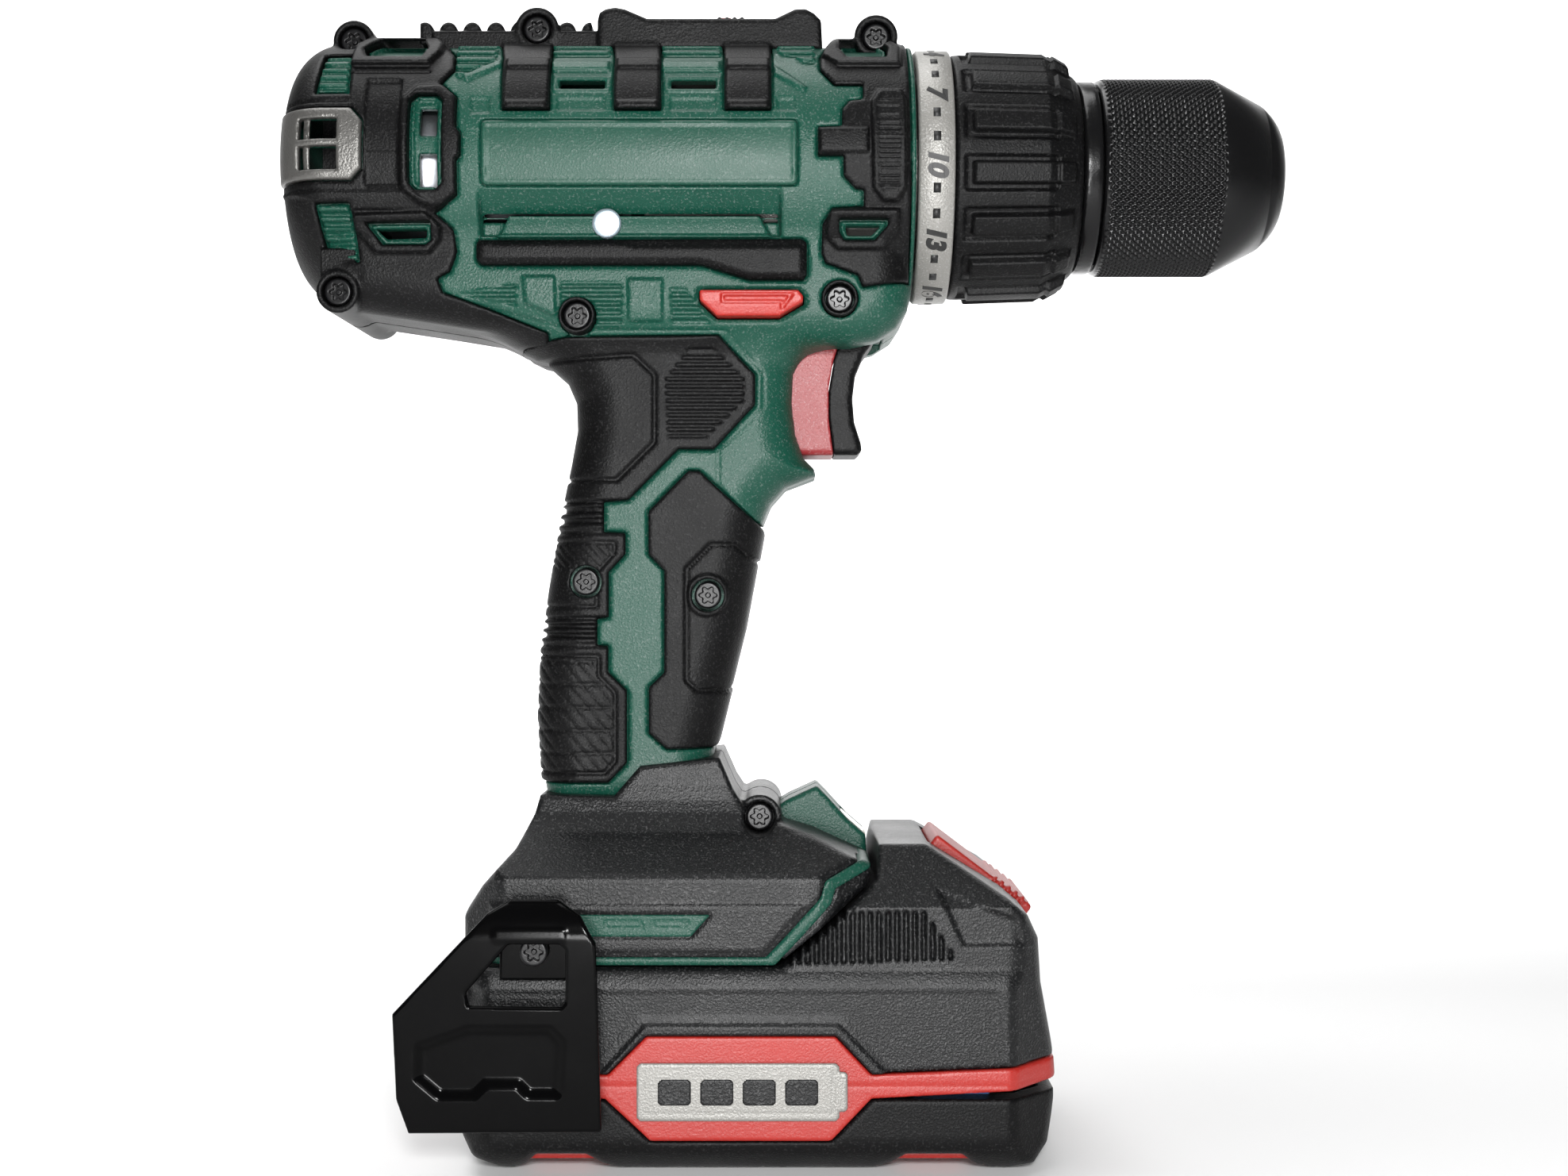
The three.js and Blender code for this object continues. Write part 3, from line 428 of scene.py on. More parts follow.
def piece(mesh, body, slot, replaces=()):
    obj = bpy.data.objects.new(mesh.name, mesh)
    bpy.context.scene.collection.objects.link(obj)
    mesh.materials.append(MATERIALS[slot])
    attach(obj, body)
    if replaces:
        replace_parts(obj, *replaces)
    return obj


def solid(name, field, low, high, body, slot, replaces=(), step=STEP):
    return piece(field_mesh(name, field, low, high, step), body, slot, replaces)


def both_sides(name, field, low, high, slot, step=STEP, in_cad=True):
    """The right-hand piece from its field and the left-hand one as its mirror image."""
    right = field_mesh(f"{name}_right_shape", field, low, high, step)
    left = mirrored_mesh(right, f"{name}_left_shape")
    for mesh, side in ((right, "right"), (left, "left")):
        piece(mesh, "housing", slot, [f"{name}_{side}"] if in_cad else ())


# ---- side-view outlines of the housing ----
BELLY = [
    (-90, 197), (-90, 182), (-84, 176.2), (-68, 173.8), (-52, 171.2), (-44, 168.8), (8, 168.4), (19, 168.4),
    (24.6, 169.6), (28.6, 172.2), (30.8, 175.6), (31.6, 179.5), (31.6, 197),
]
HANDLE = [
    (-60, 176), (-50, 168), (-44.7, 165.3), (-40.4, 161.6), (-38.4, 157), (-38.2, 151), (-39.5, 143.7),
    (-42, 131.7), (-44.4, 117), (-46.2, 104), (-46.8, 90), (-46, 78), (-44.6, 70), (-8, 70), (-9.8, 78),
    (-10, 83), (-7.8, 92), (-3.6, 109), (-0.4, 126.5), (0.4, 131), (2.2, 135.4), (5.4, 139), (11.8, 141.4),
    (11.4, 143), (9.4, 145), (7.6, 150.2), (6.8, 157), (7.2, 163), (9.4, 167.6), (14, 171.4), (20, 176),
]
POD = [
    (-16, 70), (0, 69), (5.9, 72.7), (12, 75.5), (13.9, 73.6), (18.6, 68.4), (22.4, 65.1), (22.6, 61),
    (-16, 60),
]
REAR_PAD = [
    (-112, 168), (-112, 246), (-70.3, 246), (-70.3, 237.3), (-63.6, 228.5), (-63.2, 224.7), (-65.6, 221.2),
    (-62, 218), (-61.8, 211.4), (-60.9, 210.3), (-60.9, 205.9), (-61.7, 204.8), (-61.8, 198),
    (-64.8, 195.6), (-66.5, 194.5), (-63, 191.4), (-62.4, 187), (-63.9, 183), (-66.5, 181.6),
    (-65.4, 178.6), (-55.7, 175.1), (-44, 170.5), (-44, 168),
]
TOP_PAD = [
    (-52.6, 215.4), (-42.8, 215.4), (-43.4, 228), (-44.6, 235.6), (-31.6, 235.6), (-30.2, 228),
    (-29.8, 215.4), (-20, 215.4), (-20.6, 228), (-21.6, 235.6), (-8, 235.6), (-7.4, 228), (-7.2, 215.4),
    (2.5, 215.4), (2.4, 228), (2, 234.6), (12.6, 234.6), (13.2, 237.6), (13.2, 248), (-69.6, 248),
    (-68.6, 235.2), (-55.4, 235.2), (-53.4, 228),
]
FRONT_PAD = [
    (12.5, 228.3), (16.4, 236.6), (16.4, 244), (30.6, 244), (30.9, 181.3), (21.2, 179.8), (20.2, 182.3),
    (13.5, 184.8), (12.7, 186.8), (12.9, 192.5), (14.9, 195.3), (21.3, 195.7), (21.3, 199), (19.6, 199.2),
    (17.1, 201.8), (17.1, 205.7), (11.9, 205.7), (11.9, 211.5), (16.8, 211.7), (16.9, 215.4), (18.4, 217.3),
    (21.1, 217.6), (21.2, 221.1), (15.4, 221.1), (12.5, 224.8),
]
SIDE_BAR = [
    (-57.8, 189.4), (8.7, 189.6), (9.7, 188.8), (9.7, 182.3), (9, 181.2), (-2.1, 181.2), (-12.1, 184.3),
    (-57.4, 184.3), (-58.4, 185.4), (-58.4, 188.4),
]
PALM_PAD = [
    (-70, 167.6), (-52, 167.6), (-39.8, 169.8), (-8.6, 170.1), (-1, 162.2), (-1, 156), (-9.6, 146.7),
    (-17, 146.7), (-27.5, 136.1), (-32.6, 135.6), (-32.6, 129.4), (-28.1, 129.2), (-28.1, 124.8),
    (-31.6, 121), (-31.6, 111.6), (-34, 111.2), (-34, 105.8), (-31.7, 105.6), (-31.7, 100.1), (-27.8, 96.3),
    (-27.8, 81.2), (-31.7, 77), (-70, 77),
]
FINGER_PAD = [
    (-15.1, 142.1), (-12.7, 142.1), (1.4, 129.4), (8, 126), (8, 84.4), (-19.5, 84.1), (-23.2, 87.4),
    (-23.2, 97), (-20, 100.1), (-20, 121.3), (-23.3, 124.8), (-23.3, 133.7),
]
PLATE = box_outline(-56.8, 7.8, 199.7, 213.2, 0.7)
CAGE = [(-112, 200.8), (-83.2, 200.8), (-81, 203.1), (-81, 212.9), (-83.4, 215.6), (-112, 215.6)]
SELECTOR = [
    (-12.3, 178.8), (7.9, 178.8), (8.9, 177.6), (8.9, 176.4), (4, 173.6), (-8.7, 173.6), (-12.3, 176.8),
]

WINDOW_UP = [(-81.6, 228.1), (-82.5, 230), (-80, 234.2), (-71.4, 234.2), (-69.4, 230.4), (-70.2, 228.1)]
WINDOW_LOW = [(-80.6, 192.4), (-67.4, 192.7), (-67.6, 189.2), (-68.8, 188.3), (-77.4, 188.3)]
WINDOW_SLOT = box_outline(-71.3, -64.6, 198.7, 218.5, 1.4)
WINDOW_FRONT_UP = [(16.8, 234), (24.6, 234), (26.6, 230.6), (26.2, 228), (18.2, 228), (16.6, 230.5)]
WINDOW_FRONT_LOW = [(16.4, 193.2), (26.4, 193.2), (26.2, 192.1), (23.5, 189.3), (17.5, 189.3), (16.5, 190.8)]
WINDOWS = [WINDOW_UP, WINDOW_LOW, WINDOW_SLOT, WINDOW_FRONT_UP, WINDOW_FRONT_LOW]
LOUVRES = [
    [(-90.7, 228.6), (-84.9, 228.8), (-84.2, 219), (-91, 218.9)],
    [(-90.8, 196.2), (-83.8, 196.4), (-82.5, 184.9), (-89, 184.7)],
]
HOLES = [
    [(-80.6, 229.6), (-79, 232.8), (-72.4, 232.8), (-70.8, 229.6)],
    [(-79, 191.5), (-68.5, 191.6), (-68.7, 189.9), (-76.8, 189.6)],
    box_outline(-69.4, -65.9, 209.9, 215.8), box_outline(-69.4, -65.8, 199.5, 206.3),
    [(18.2, 232.6), (24.2, 232.6), (25.2, 230.6), (24.8, 229.2), (19, 229.2)],
    [(17.6, 192.2), (25, 192.2), (23, 190.3), (18, 190.3)],
    box_outline(-41.2, -31.8, 220.2, 222.2), box_outline(-18.2, -9, 220.2, 222.2),
    box_outline(-94.5, -85.8, 209, 213.6), box_outline(-94.5, -85.8, 202.6, 207.8),
]

FINS = [
    box_outline(-44.2, -31.4, 228.2, 235), box_outline(-21, -8.2, 228.2, 235),
    [(-64, 233), (-55, 233), (-55, 227.5), (-62.4, 222.8), (-63, 226)],
    [(3.6, 233.4), (11.4, 233.4), (11.4, 226), (3.6, 230)],
]
HOLLOWS = ((-41.4, -31.6, 215.2), (-18.3, -8.9, 215.2), (3.6, 7.4, 215.2), (-59, -55.2, 214.6))
DIAGONALS = [
    [(-60.6, 222), (-51, 227.4), (-52.6, 228.6), (-61.2, 223.4)],
    [(3, 226), (9.6, 220.6), (9, 219.6), (3, 223.6)],
]
BELLY_RIBS = [
    [(-62.3, 178.4), (-50.2, 180.6), (-50.2, 176)],
    [(-41.1, 180.7), (-28.4, 180.7), (-28.4, 171.8), (-36, 171.8), (-41.1, 173.8)],
    [(-18.4, 179.6), (-15.4, 179.6), (-10.1, 172.4), (-18.4, 172.4)],
]
BELLY_BLOCKS = [
    [(-48.9, 182), (-42.3, 182), (-42.1, 173.7), (-48.3, 176.4)], box_outline(-27.1, -20.1, 172.8, 181.4),
]
GROOVES = [
    [(-62, 177.2), (-39.4, 171.1), (-7.2, 171.1), (0.7, 162.6), (0.7, 155.4), (-8.8, 146.2)],
    [(-8.8, 146.2), (-8.6, 139.4), (-1.7, 129.8)],
]

TOP_SCREWS = ["screw_1", "screw_2", "screw_3"]
REAR_BOSS = "screw_4"
BELLY_SCREWS = ["screw_5", "screw_6"]
GRIP_SCREWS = ["screw_7", "screw_8"]
FOOT_SCREW = "screw_9"

HANDLE_MAP = side_distance(HANDLE)
BELLY_MAP = side_distance(BELLY)
POD_MAP = side_distance(POD)
PAD_MAPS = {
    "rear_bumper": side_distance(REAR_PAD),
    "top_bumper": side_distance(TOP_PAD),
    "front_bumper": side_distance(FRONT_PAD),
    "side_bar": side_distance(SIDE_BAR),
    "palm_grip": side_distance(PALM_PAD),
    "finger_grip": side_distance(FINGER_PAD),
}
WINDOW_MAP = side_distance(*WINDOWS, *LOUVRES)
HOLE_MAP = side_distance(*HOLES)
SEAT_MAP = SideMap(lambda u, v: np.maximum(
    np.minimum.reduce([m.table for m in PAD_MAPS.values()]),
    -WINDOW_MAP.table,
))
PLATE_MAP = side_distance(PLATE)
CAGE_MAP = side_distance(CAGE)
SELECTOR_MAP = side_distance(SELECTOR)


# ---- the housing ----
def body_field(x, y, z):
    """The drill's body without its details."""
    radius = np.hypot(y, z - AXIS_Z)
    barrel = both(radius - BARREL["radius"], BARREL["rear"] - x, BARREL["dome"])
    belly = both(BELLY_MAP(x, z), np.abs(y) - BELLY_HALF, BELLY_ROUNDING)
    handle = both(HANDLE_MAP(x, z), np.abs(y) - HANDLE_HALF, 9.0)
    pod = both(POD_MAP(x, z), np.abs(y) - 8, 1.2)
    whole = join(join(barrel, belly, 2.0), handle, 4.0)
    return both(join(whole, pod, 0.5), x - BARREL["front"], 0.6)


def upper_relief(u, v):
    """The shelf under the plate and the fins, slots and ribs between the top bumper's fingers."""
    shelf = [(-57.4, 199.3), (4.2, 199.3), (4.2, 190.2), (-57.4, 190.2)]
    ledge = [(-51.6, 194.2), (0, 194.2), (2.4, 190), (-54, 190)]
    height = relief_over(ledge, u, v, 2.6)
    height -= np.interp(v, [194.2, 194.6, 199.3], [3.2, 2.9, 0.2]) * relief_over(shelf, u, v, 1.0, 1.0)
    for outline in (box_outline(-44.4, -31.2, 224.8, 227.2), box_outline(-21, -8.2, 224.8, 227.2)):
        height += relief_over(outline, u, v, 0.8, 0.6)
    for outline in FINS:
        height += relief_over(outline, u, v, 1.0) * (stripes(v, 2.1, 1.1) - 0.3)
    for low, high, bottom in HOLLOWS:
        height -= relief_over(box_outline(low, high, bottom, 217.8), u, v, 0.5, 0.4)
    for low, high in ((-42, -31), (-19, -8.4)):
        rim = np.abs(outline_distance(box_outline(low, high, 219.6, 222.8), u, v))
        height += ramp(rim - 0.25, 0.4, 0.4)
    for outline in DIAGONALS:
        height += relief_over(outline, u, v, 0.6, 0.4)
    return height


def lower_relief(u, v):
    """The belly's ribbed fields and raised blocks, and the groove that runs along the grip."""
    height = np.zeros_like(u)
    for outline in BELLY_RIBS:
        height += relief_over(outline, u, v, 1.0, 0.4) * (stripes(v, 1.8, 1.0) - 0.6)
    for outline in BELLY_BLOCKS:
        height += relief_over(outline, u, v, 0.7)
    for line in GROOVES:
        height -= ramp(line_distance(line, u, v) - 0.15, 0.45)
    return height - relief_over(SELECTOR, u, v, 0.6, 0.4, grow=0.9)


def vent_relief(u, v):
    height = np.zeros_like(u)
    for outline in LOUVRES:
        height += relief_over(outline, u, v, 1.0, 0.4, grow=-0.4) * (stripes(v, 1.85, 1.1) - 0.6)
    for outline in WINDOWS:
        height -= relief_over(outline, u, v, 0.9, grow=-0.9)
    return height


def green_height(u, v):
    """Relief of the green shells, in the side view."""
    return upper_relief(u, v) + lower_relief(u, v) + vent_relief(u, v)


GREEN_HEIGHT = SideMap(green_height)


def screw_bore(x, z, node, radius):
    cx, _, cz = centre_mm(node)
    return np.hypot(x - cx, z - cz) - radius


def housing_field(x, y, z):
    body = body_field(x, y, z)
    shell = body - GREEN_HEIGHT(x, z)
    seats = both(-(body + SEAT_DEPTH), SEAT_MAP(x, z) - GAP)
    seats = np.minimum(seats, both(-(body + SEAT_DEPTH), CAGE_MAP(x, z) - GAP))
    seats = np.minimum(seats, both(-(body + PLATE_DEPTH), PLATE_MAP(x, z) - 0.15))
    shell = cut(shell, seats, 0.2)
    shell = cut(shell, both(HOLE_MAP(x, z), y + 14), 0.2)
    along = np.abs(x - MOTOR_BAY["middle"]) - MOTOR_BAY["half"]
    inside = both(np.hypot(y, z - AXIS_Z) - MOTOR_BAY["radius"], along)
    shell = cut(shell, inside)
    shell = cut(shell, both(SELECTOR_MAP(x, z) - GAP, y + 12), 0.2)
    for node in BELLY_SCREWS + GRIP_SCREWS:
        face = 17.8 if node in BELLY_SCREWS else 13.6
        shell = cut(shell, both(screw_bore(x, z, node, SCREW_BORE), y + face), 0.3)
    opening = np.maximum.reduce([np.abs(y) - 9.5, 145.2 - z, z - 171.5, -12 - x, x - 26])
    shell = cut(shell, opening, 0.4)
    lamp_hole = np.maximum.reduce([np.abs(y) - 5.6, 17.2 - x, 62 - z, z - 71.4])
    shell = cut(shell, lamp_hole, 0.2)
    slot = np.maximum.reduce([np.abs(y) - 8.5, x - 4.4, -24.4 - x, 229 - z])
    shell = cut(shell, slot)
    return both(shell, y + SEAM, 0.2)


def make_housing():
    both_sides("housing", housing_field, (-103, -30, 55), (32.5, 0, 236), "green_shell", step=STEP)


# ---- soft bumpers and grips ----
def rear_height(u, v):
    height = np.zeros_like(u)
    frames = [
        [(-84.6, 226), (-68.4, 226), (-66.4, 229.5), (-66.4, 233), (-69.8, 239), (-82, 239), (-84.6, 233)],
        [
            (-72.9, 217.5), (-69.9, 220.6), (-64.3, 220.8), (-60, 218), (-60, 198.2), (-65, 195.4),
            (-69.1, 196), (-72.9, 199),
        ],
        [
            (-83, 194), (-68.3, 194.5), (-65.4, 191.7), (-65.6, 189.4), (-67.9, 186.6), (-78.9, 186.6),
            (-83, 191.2),
        ],
    ]
    for outline in frames:
        height += relief_over(outline, u, v, 1.4, 1.0)
    brow = [(-100, 199), (-72, 199), (-66, 195.6), (-66, 194.8), (-83, 195), (-92, 197)]
    height += relief_over(brow, u, v, 0.5)
    height -= relief_over(box_outline(-80.4, -73.4, 199.6, 222), u, v, 0.7, 0.8)
    height -= ramp(line_distance([(-98, 217), (-84, 217), (-84, 224), (-68, 224)], u, v) - 0.2, 0.5)
    height -= ramp(line_distance([(-98, 198.8), (-72.6, 198.8)], u, v) - 0.2, 0.6)
    return height


def top_height(u, v):
    height = np.zeros_like(u)
    for low, high in ((-52.6, -42.8), (-29.8, -20), (-7.2, 2.5)):
        height += relief_over(box_outline(low + 0.3, high - 0.3, 215, 227.6), u, v, 0.8, 0.8)
        height += relief_over(box_outline(low + 0.3, high - 0.3, 224.8, 227.6), u, v, 0.6, 0.9)
        height += relief_over(box_outline(low + 0.8, high - 0.8, 215, 217), u, v, 0.4, 0.5)
    return height


def front_height(u, v):
    height = np.zeros_like(u)
    frames = [
        [(13, 228.4), (13, 236), (26, 236), (29.4, 231), (29, 226), (16, 226)],
        [(14.4, 195), (28.6, 195), (28.6, 191), (25.4, 187.4), (16, 187.4), (13.6, 190)],
    ]
    for outline in frames:
        height += relief_over(outline, u, v, 1.2, 0.9)
    pad = [
        (22.8, 217.1), (24.4, 219.6), (28.9, 219.6), (29.9, 217.1), (29.8, 199), (28.3, 196.6),
        (25.3, 196.6), (23.2, 199),
    ]
    distance = outline_distance(pad, u, v)
    height += ramp(distance, 1.0, 0.5)
    height += ramp(distance + 1.1, 1.0, 0.3) * (stripes(v, 0.95, 0.4) - 0.35)
    prong = [(12.2, 211.2), (22.2, 211.2), (22.2, 206.2), (12.2, 206.2)]
    height += relief_over(prong, u, v, 0.7, 0.7)
    return height


def bar_height(u, v):
    height = relief_over(SIDE_BAR, u, v, 0.9, 1.6, grow=-0.8)
    low = [(-26, 187.8), (9, 187.8), (9, 190), (-57.6, 190), (-57.6, 188.8), (-30, 188.8)]
    return height - relief_over(low, u, v, 0.5, 0.8)


def palm_height(u, v):
    height = np.zeros_like(u)
    patch = [
        (-48, 165.3), (-37.4, 165.6), (-26.4, 166.3), (-22, 162.2), (-22, 148.1), (-29.9, 140.2),
        (-48, 140.4),
    ]
    distance = outline_distance(patch, u, v)
    height -= ramp(np.abs(distance) - 0.35, 0.7, 0.7)
    ribs = [
        (-19.6, 161.5), (-14.8, 167.6), (-9.6, 167.6), (-3.4, 161.5), (-3.4, 157), (-11.3, 149.2),
        (-19.4, 149.2),
    ]
    inside = relief_over(ribs, u, v, 1.0, 0.4)
    height -= inside * stripes(v, 1.5, 0.75, 0.34)
    block = [(-60, 127.2), (-30.3, 127.2), (-30.3, 125.2), (-34, 121), (-34, 113.8), (-60, 113.8)]
    distance = outline_distance(block, u, v)
    height -= ramp(np.abs(distance) - 0.25, 0.5, 0.6)
    height -= ramp(distance + 0.5, 1.0, 0.4) * ramp(121.4 - v, 1.0) * stripes(u + v, 1.9, 0.3, 0.3)
    for low, high in ((129.4, 136.2), (105.8, 111.6)):
        between = np.minimum(np.clip(v - low, 0, 1), np.clip(high - v, 0, 1))
        height -= between * 0.9 * (1 - stripes(v - low, (high - low) / 3, 1.0, 0.45))
    for edge in (135.6, 129.2, 111.4, 105.6):
        height -= ramp(np.abs(v - edge) - 0.3, 0.6, 0.8) * ramp(u + 20, 1.0)
    pad = [
        (-60, 103.5), (-33.6, 103.5), (-33.6, 99.4), (-30.2, 95.9), (-30.2, 81.5), (-32.4, 79.1),
        (-60, 79.1),
    ]
    distance = outline_distance(pad, u, v)
    height -= ramp(np.abs(distance) - 0.3, 0.6, 0.6)
    inside = ramp(distance + 0.6, 1.0, 0.4)
    height -= inside * stripes(v - 100, 4.8, 0.35, 0.12)
    height -= inside * stripes(u * 1.2 + v, 3.4, 0.3, 0.14)
    return height


def finger_height(u, v):
    patch = [
        (-15.4, 121.7), (-10.3, 126.8), (-5.2, 126.8), (-1.5, 123.6), (3, 122), (3, 95), (-8.4, 96.2),
        (-13, 96.2), (-15.4, 98.4),
    ]
    distance = outline_distance(patch, u, v)
    height = -ramp(np.abs(distance) - 0.35, 0.6, 0.7) - ramp(distance, 0.25, 0.5)
    return height - ramp(np.hypot(u + 10.9, v - 116.2) - 4.4, -0.7, 0.5)


PAD_HEIGHTS = {
    "rear_bumper": SideMap(rear_height),
    "top_bumper": SideMap(top_height),
    "front_bumper": SideMap(front_height),
    "side_bar": SideMap(bar_height),
    "palm_grip": SideMap(palm_height),
    "finger_grip": SideMap(finger_height),
}


def pad_field(name, proud=0.7, edge=0.6):
    """A soft layer over one region of the body, with its own relief."""
    region, relief = PAD_MAPS[name], PAD_HEIGHTS[name]

    def field(x, y, z):
        body = body_field(x, y, z)
        outline = np.maximum(region(x, z), -(WINDOW_MAP(x, z) - 0.1))
        layer = both(body - proud - relief(x, z), outline, edge)
        return np.maximum(layer, -(body + LAYER_DEPTH))
    return field


def boss_field(x, y, z, node, radius=4.6, half=8.8, foot=9.0):
    """A screw boss across the middle plane, standing on the barrel."""
    cx, _, cz = centre_mm(node)
    tube = both(np.hypot(x - cx, z - cz) - radius, np.abs(y) - half, 0.5)
    below = z - cz if cz > AXIS_Z else cz - z
    web = np.maximum.reduce([np.abs(x - cx) - radius * 0.8, np.abs(y) - half + 0.6, below, -foot - below])
    bore = both(np.hypot(x - cx, z - cz) - 3.2, y + half - 2.8)
    return np.minimum(tube, web), bore


def closed_at_seam(field, y):
    return both(field, y + SEAM, 0.2)


def rear_field(x, y, z):
    field = pad_field("rear_bumper")(x, y, z)
    cage = both(CAGE_MAP(x, z) - GAP, -(body_field(x, y, z) + LAYER_DEPTH))
    field = cut(field, cage, 0.3)
    for node, half in ((TOP_SCREWS[0], 8.8), (REAR_BOSS, 22.6)):
        boss, bore = boss_field(x, y, z, node, 4.4, half)
        boss = np.maximum(boss, -(body_field(x, y, z) + LAYER_DEPTH))
        field = cut(join(field, boss, 0.6), bore, 0.3)
    return closed_at_seam(field, y)


RAIL = [
    (-34.6, 232), (-34.6, 238.2), (-34.2, 239.8), (-33, 240.6), (-30.9, 241), (-28.8, 240.6), (-24.1, 238.6),
    (3.1, 238.6), (7.3, 240.6), (9.5, 240.7), (11.3, 239.8), (12.9, 238.2), (13.2, 232),
]
RAIL_MAP = side_distance(RAIL)


def top_field(x, y, z):
    body = body_field(x, y, z)
    field = pad_field("top_bumper")(x, y, z)
    rail = both(RAIL_MAP(x, z), np.abs(y) - 10.5, 1.0)
    field = join(field, np.maximum(rail, -(body + LAYER_DEPTH)), 0.8)
    ridge = np.abs((x + 71.6) / 5.05 - np.round((x + 71.6) / 5.05)) * 5.05
    ridges = np.maximum.reduce([np.hypot(ridge, (z - 236) / 1.2) - 2.0, np.abs(y) - 8, x + 36, -72.6 - x])
    strip = np.maximum.reduce([z - 236.4, np.abs(y) - 8.6, x + 30, -70 - x, -(body + LAYER_DEPTH)])
    field = np.minimum(field, np.minimum(ridges, strip))
    boss, bore = boss_field(x, y, z, TOP_SCREWS[1])
    field = cut(join(field, np.maximum(boss, -(body + LAYER_DEPTH)), 0.5), bore, 0.3)
    slot = np.maximum.reduce([np.abs(y) - 8.5, x - 4.4, -24.4 - x])
    return closed_at_seam(cut(field, slot, 0.3), y)


def front_field(x, y, z):
    field = pad_field("front_bumper")(x, y, z)
    boss, bore = boss_field(x, y, z, TOP_SCREWS[2])
    boss = np.maximum(boss, -(body_field(x, y, z) + LAYER_DEPTH))
    field = cut(join(field, boss, 0.5), bore, 0.3)
    field = cut(field, both(screw_bore(x, z, "screw_6", 4.2), -(body_field(x, y, z) + 3)), 0.2)
    return closed_at_seam(field, y)


def bar_field(x, y, z):
    return pad_field("side_bar", 0.9)(x, y, z)


def grip_field(name, screw):
    def field(x, y, z):
        layer = cut(pad_field(name)(x, y, z), both(screw_bore(x, z, screw, 3.4), y + 10), 0.3)
        return closed_at_seam(layer, y)
    return field


def make_soft_parts():
    both_sides("rear_bumper", rear_field, (-105, -31, 167), (-43, 0, 243), "rubber")
    both_sides("top_bumper", top_field, (-74, -31, 214), (14, 0, 244.5), "rubber")
    both_sides("front_bumper", front_field, (11, -31, 178), (32, 0, 244), "rubber")
    both_sides("side_bar", bar_field, (-60, -26, 180), (11, -18, 191), "rubber")
    both_sides("palm_grip", grip_field("palm_grip", "screw_7"), (-62, -20, 76), (0, 0, 171), "rubber")
    both_sides("finger_grip", grip_field("finger_grip", "screw_8"), (-25, -20, 83), (4, 0, 143), "rubber")


# ---- vent cage, plates, magnet ----
def cage_field(x, y, z):
    body = body_field(x, y, z)
    layer = both(both(body - CAGE_PROUD, CAGE_MAP(x, z), 0.6), -(body + LAYER_DEPTH))
    windows = np.minimum(np.abs(z - 211.2) - 2.2, np.abs(z - 205.2) - 2.4)
    windows = np.maximum(np.abs(x + 90) - 4, windows)
    side = cut(layer, both(windows, 17 - np.abs(y)), 0.4)
    bars = np.maximum.reduce([
        np.abs(x + 92.6) - 0.7, body + 0.4, -(body + LAYER_DEPTH), np.abs(z - 208.2) - 6,
    ])
    side = np.minimum(side, bars)
    back = np.maximum.reduce([np.abs(y) - 15, np.abs(np.abs(z - 208.2) - 3.1) - 2.2, x + 96])
    return cut(side, back, 0.4)


def make_trim():
    low, high = (-105, -31, 199), (-79, 31, 217)
    solid("vent_cage_shape", cage_field, low, high, "housing", "grey_plastic", ["vent_cage"])

    def plate_field(x, y, z):
        body = body_field(x, y, z)
        frame_edge = np.abs(PLATE_MAP(x, z) + 0.7) - 0.35
        layer = body - 0.15 - ramp(frame_edge, 0.25, 0.3)
        return np.maximum(both(layer, PLATE_MAP(x, z) + 0.15, 0.2), -(body + 0.8))
    plate = field_mesh("label_plate_shape", plate_field, (-58, -29, 199), (9, -24, 214))
    piece(plate, "housing", "label", ["label_plate"])
    piece(mirrored_mesh(plate, "label_plate_left_shape"), "housing", "label")

    cx, _, cz = centre_mm("bit_magnet")
    cz = 192.6

    def magnet_field(x, y, z):
        return both(np.hypot(x - cx, z - cz) - 3.0, np.abs(y + 23) - 1.2, 0.3)
    low, high = (cx - 4, -26, cz - 4), (cx + 4, -20, cz + 4)
    solid("bit_magnet_shape", magnet_field, low, high, "housing", "magnet", ["bit_magnet"], FINE)


# ---- foot ----
FOOT_Z = corners_mm("foot_cover_right")[0][2]
FOOT_SIDE = [
    (-60.4, FOOT_Z), (-60.4, 51), (-56, 57.5), (-49.6, 64.6), (-46.6, 71), (-45.6, 74.8), (-30.4, 74.4),
    (-25, 80.6), (-8.4, 82.4), (-5.6, 76), (-2.4, 71), (3, 69.4), (11, 67), (23.2, 61.4), (21.6, 57),
    (3.4, FOOT_Z),
]
FOOT_FLARE = [
    (36.2, FOOT_Z), (36.2, 59.8), (26.4, 66.2), (24.0, 67.6), (22.2, 69.2), (20.8, 71.2), (19.8, 73.6),
    (19.0, 77), (18.2, 88),
]
FOOT_FRONT = [(-y, z) for y, z in FOOT_FLARE] + FOOT_FLARE[::-1]
FOOT_TOP = [
    (-60.4, -27), (-51, -36.2), (12, -36.2), (23.2, -29), (23.2, 29), (12, 36.2), (-51, 36.2), (-60.4, 27),
]
FOOT_MAP = side_distance(FOOT_SIDE)


STRIPE = [(-62, 42.9), (1.9, 42.9), (8.1, 49.5), (13.4, 55.3), (14.3, 58.4), (21.4, 61.9)]


def foot_height(u, v):
    height = np.zeros_like(u)
    panel = [(-54, 54.6), (9.4, 54.6), (0.8, 45.2), (-54, 45.2)]
    height += relief_over(panel, u, v, 0.5, 0.5)
    inlay = [(-50, 52.6), (-9.7, 52.6), (-13.6, 48.2), (-50, 48.2)]
    height -= ramp(outline_distance(inlay, u, v) - 0.3, 0.6, 0.4)
    height -= ramp(line_distance(STRIPE, u, v) - 1.4, 0.6, 0.4)
    return height


